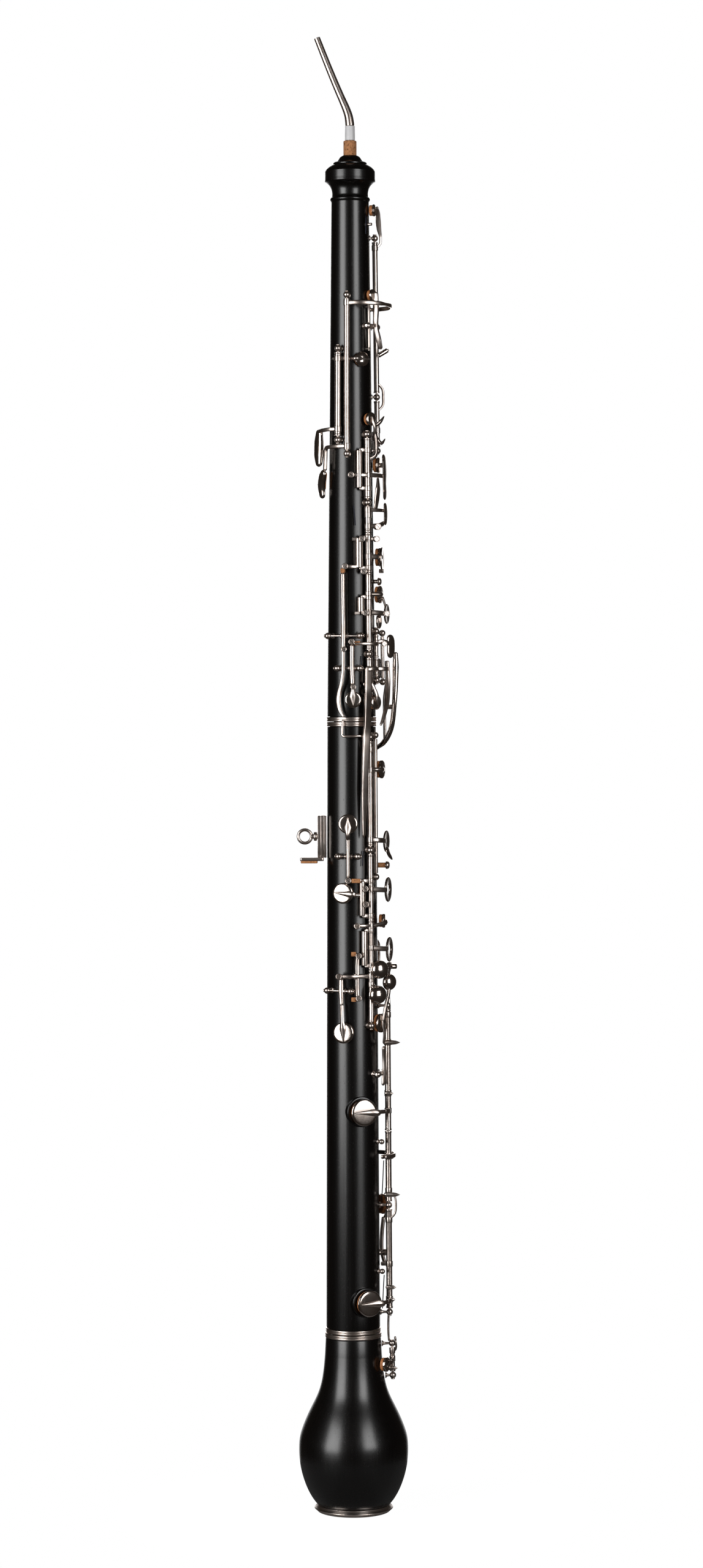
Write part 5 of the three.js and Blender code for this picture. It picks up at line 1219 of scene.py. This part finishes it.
# Small fixed pieces on the wood: rods with their posts, bumpers and needle springs
silverPiece("frontRod", [
    postShape(spot("upper", 10, 1.36, 0.156)), postShape(spot("upper", 10, 1.36, 0.07)),
    bar(spot("upper", 10, 1.36, 0.15), spot("upper", 10, 1.36, 0.076), 1.1, 0.2, 24),
], "upper_joint")
silverPiece("middleRod", [
    postShape(spot("lower", 39, 1, 0.978)), postShape(spot("lower", 39, 1, 0.747)),
    bar(spot("lower", 39, 1, 0.972), spot("lower", 39, 1, 0.753), 1.25, 0.2, 24),
], "lower_joint")
silverPiece("footStuds", [
    postShape(spot("lower", 20, 0.8, 0.3133), 0.8), postShape(spot("lower", 20, 0.75, 0.1014), 0.8),
], "lower_joint")
silverPiece("springRod", [
    bar(spot("upper", 42, 0.75, 0.7336), spot("upper", 42, 0.75, 0.6525), 0.7, 0.2, 16),
    stalk("upper", 42, 0.73, 11.5, 15.1, 0.9), stalk("upper", 42, 0.656, 11.5, 15.3, 0.9),
    stalk("upper", 24, 0.8765, 11.2, 13.9, 0.9),
], "upper_joint")
silverPiece("upperBumper", [knob("upper", 10, 0.247, 13.4, 18.2, 2.35, 1.2)], "upper_joint")
silverPiece("lowerBumper", [knob("lower", 6, 0.765, 20.0, 22.4, 2.4, 1.6)], "lower_joint")
piece("bumperCork", [stalk("lower", 6, 0.765, 14.6, 20.8, 1.5)], cork, "lower_joint", ())
piece("upperSprings", [needle("upper", (47, 0.7, 0.89), (47, 0.6, 0.858)),
                       needle("upper", (84, 0.45, 0.38), (80, 0.5, 0.345)),
                       needle("upper", (66, 0.35, 0.115), (68, 0.45, 0.085))],
      blueSteel, "upper_joint")
piece("lowerSprings", [needle("lower", (13, 0.95, 0.282), (13, 0.55, 0.216)),
                       needle("lower", (66, 0.4, 0.79), (68, 0.45, 0.765)),
                       needle("lower", (14, 0.9, 0.095), (14, 0.55, 0.04))],
      blueSteel, "lower_joint")
print("small pieces made")

rest = {
    "z": 397.86, "half": 12.5, "face": 15.0, "rail": 16.2, "slide": 16.5, "back": 20.3,
    "ringAway": 27.8, "ringRadius": 3.9, "ringWire": 0.95,
}


# Block behind the wood: a rounded rectangle (superellipse) carried up, smaller at both ends by its edge
def block(near, far, half, low, high, edge=0.4):
    x, y = -(near + far) / 2, (far - near) / 2
    turn = np.linspace(0, 2 * np.pi, 48, endpoint=False) + np.pi / 48
    c, s = np.cos(turn), np.sin(turn)
    flat = np.stack([np.sign(c) * np.abs(c) ** 0.14 * y, np.sign(s) * np.abs(s) ** 0.14 * half], -1)
    levels = np.array([[low, edge], [low + edge * 0.3, edge * 0.3], [low + edge, 0], [high - edge, 0],
                       [high - edge * 0.3, edge * 0.3], [high, edge]])
    rings = np.empty((len(levels), len(turn), 3))
    shrink = 1 - levels[:, 1, None] / np.array([y, half])[None]
    rings[..., 0] = x + flat[None, :, 0] * shrink[:, 0, None]
    rings[..., 1] = flat[None, :, 1] * shrink[:, 1, None]
    rings[..., 2] = levels[:, 0, None]
    return skin(rings)


low, high = rest["z"] - rest["half"], rest["z"] + rest["half"]
silverPiece("thumbPlate", [
    block(rest["face"], rest["rail"], 4.5, low, high), block(rest["rail"] - 0.3, 18.0, 1.6, low, high),
], "lower_joint", ["thumb_rest_plate"])
silverPiece("thumbSlide", [
    block(rest["slide"], 18.4, 4, low, high), block(18.35, rest["back"], 4, low, high, 0.6),
    block(rest["slide"], 30.7, 6.5, low - 1.8, low + 0.3),
], "thumb_rest", ["thumb_rest_slide"])
piece("thumbCork", [block(rest["back"], 30.2, 6, low - 3.2, low - 1.7, 0.3)], cork, "thumb_rest",
      ["thumb_rest_cork"])
ringCentre = np.array([-rest["ringAway"], 0, rest["z"]])
ringVerts, ringFaces = ringLathe(circleOf(20) * rest["ringWire"] + [rest["ringRadius"], 0], 72)
silverPiece("strapRing", [
    (ringVerts @ np.array([[1, 0, 0], [0, 0, 1], [0, 1, 0]]) + ringCentre, ringFaces),
    bar([-18.6, 0, rest["z"]], [-24.3, 0, rest["z"]], 1.5, 0.3, 28),
    bar([-20.6, 0, rest["z"]], [-22.6, 0, rest["z"]], 2.7, 0.8, 32),
], "strap_ring", ["strap_ring_screw"])
print("thumb rest made")

# Metres from here on
studio = {
    "floor": -0.0012, "floorRadius": 0.14, "floorSides": 64, "floorTone": (0.3, 0.3, 0.3, 1),
    "floorShare": 0.7, "floorGlow": 1.4, "room": (0.026, 0.022, 0.019), "back": (1.0, 1.0, 1.0),
    "backEdge": (0.895, 0.95),
    "left": (-1.475, -1.425, 0.62), "leftSize": (1.12, 1.5), "leftPower": 27.5,
    "right": (1.11, -1.58, 0.715), "rightSize": (0.85, 1.25), "rightPower": 16.0,
    "behind": (0.0, 2.2, 0.9), "behindSize": (1.0, 1.6), "behindPower": 10.5,
}
view = {"away": 2.188, "height": 0.4859, "sensor": 36.0, "field": 0.9262, "shift": -0.0617, "roll": -0.164}
white = (1, 1, 1, 1)


# Mix of two shaders by a factor, given to a tree's last node
def mixShaders(tree, factor, first, second, last):
    both = node(tree, "ShaderNodeMixShader", {"Fac": factor, 1: first, 2: second})
    tree.links.new(both.outputs[0], tree.nodes[last].inputs["Surface"])


# Pale round floor; the camera sees it nearly white, with a little of the shadow left on it
def makeFloor():
    sides = studio["floorSides"]
    verts = np.column_stack([circleOf(sides) * studio["floorRadius"], np.full(sides, studio["floor"])])
    mesh = bpy.data.meshes.new("floor")
    mesh.from_pydata(verts.tolist(), [], [list(range(sides))])
    finish, tree, shader, _ = newFinish("paleFloor")
    feed(tree, shader, {"Base Color": studio["floorTone"], "Roughness": 0.9, "Specular IOR Level": 0.0})
    glow = node(tree, "ShaderNodeEmission", {"Color": white, "Strength": studio["floorGlow"]})
    seen = node(tree, "ShaderNodeLightPath").outputs["Is Camera Ray"]
    share = node(tree, "ShaderNodeMath", {0: seen, 1: studio["floorShare"]}, operation="MULTIPLY")
    mixShaders(tree, share.outputs[0], shader.outputs[0], glow.outputs[0], "Material Output")
    mesh.materials.append(finish)
    floor = bpy.data.objects.new("floor", mesh)
    bpy.context.scene.collection.objects.link(floor)


# Dim room with a white backdrop behind the object; the camera sees white all round
def makeWorld():
    world = bpy.data.worlds.new("studio")
    bpy.context.scene.world = world
    world.use_nodes = True
    tree = world.node_tree
    room = tree.nodes["Background"]
    axes = node(tree, "ShaderNodeSeparateXYZ", {0: node(tree, "ShaderNodeTexCoord").outputs["Generated"]})
    start, end = studio["backEdge"]
    feed(tree, room, {"Color": ramp(tree, axes.outputs["Y"], [
        (0.0, studio["room"]), (start, studio["room"]), (end, studio["back"]),
    ])})
    paper = node(tree, "ShaderNodeBackground", {"Color": white, "Strength": 1.0})
    seen = node(tree, "ShaderNodeLightPath").outputs["Is Camera Ray"]
    mixShaders(tree, seen, room.outputs[0], paper.outputs[0], "World Output")


# Soft light: a rectangle at a place, turned to the middle of the object
def softLight(name):
    data = bpy.data.lights.new(name + "Light", "AREA")
    data.shape = "RECTANGLE"
    data.size, data.size_y = studio[name + "Size"]
    data.energy = studio[name + "Power"]
    lamp = bpy.data.objects.new(name + "Light", data)
    bpy.context.scene.collection.objects.link(lamp)
    place = Vector(studio[name])
    lamp.location = place
    aim = Vector((0, 0, place.z)) - place
    lamp.rotation_euler = aim.to_track_quat("-Z", "Y").to_euler()


# Level camera before the object, hardly rolled; its lens shows the field's height at the object's distance
def makeCamera():
    data = bpy.data.cameras.new("camera")
    data.sensor_width = view["sensor"]
    data.lens = view["sensor"] * view["away"] / view["field"]
    data.shift_y = view["shift"]
    camera = bpy.data.objects.new("camera", data)
    bpy.context.scene.collection.objects.link(camera)
    camera.location = (0.0, -view["away"], view["height"])
    level = Matrix.Rotation(math.radians(90), 3, "X")
    camera.rotation_euler = (level @ Matrix.Rotation(math.radians(view["roll"]), 3, "Z")).to_euler()
    bpy.context.scene.camera = camera


makeFloor()
makeWorld()
for name in ("left", "right", "behind"):
    softLight(name)
makeCamera()
bpy.context.scene.view_settings.view_transform = "Standard"
print("studio made")
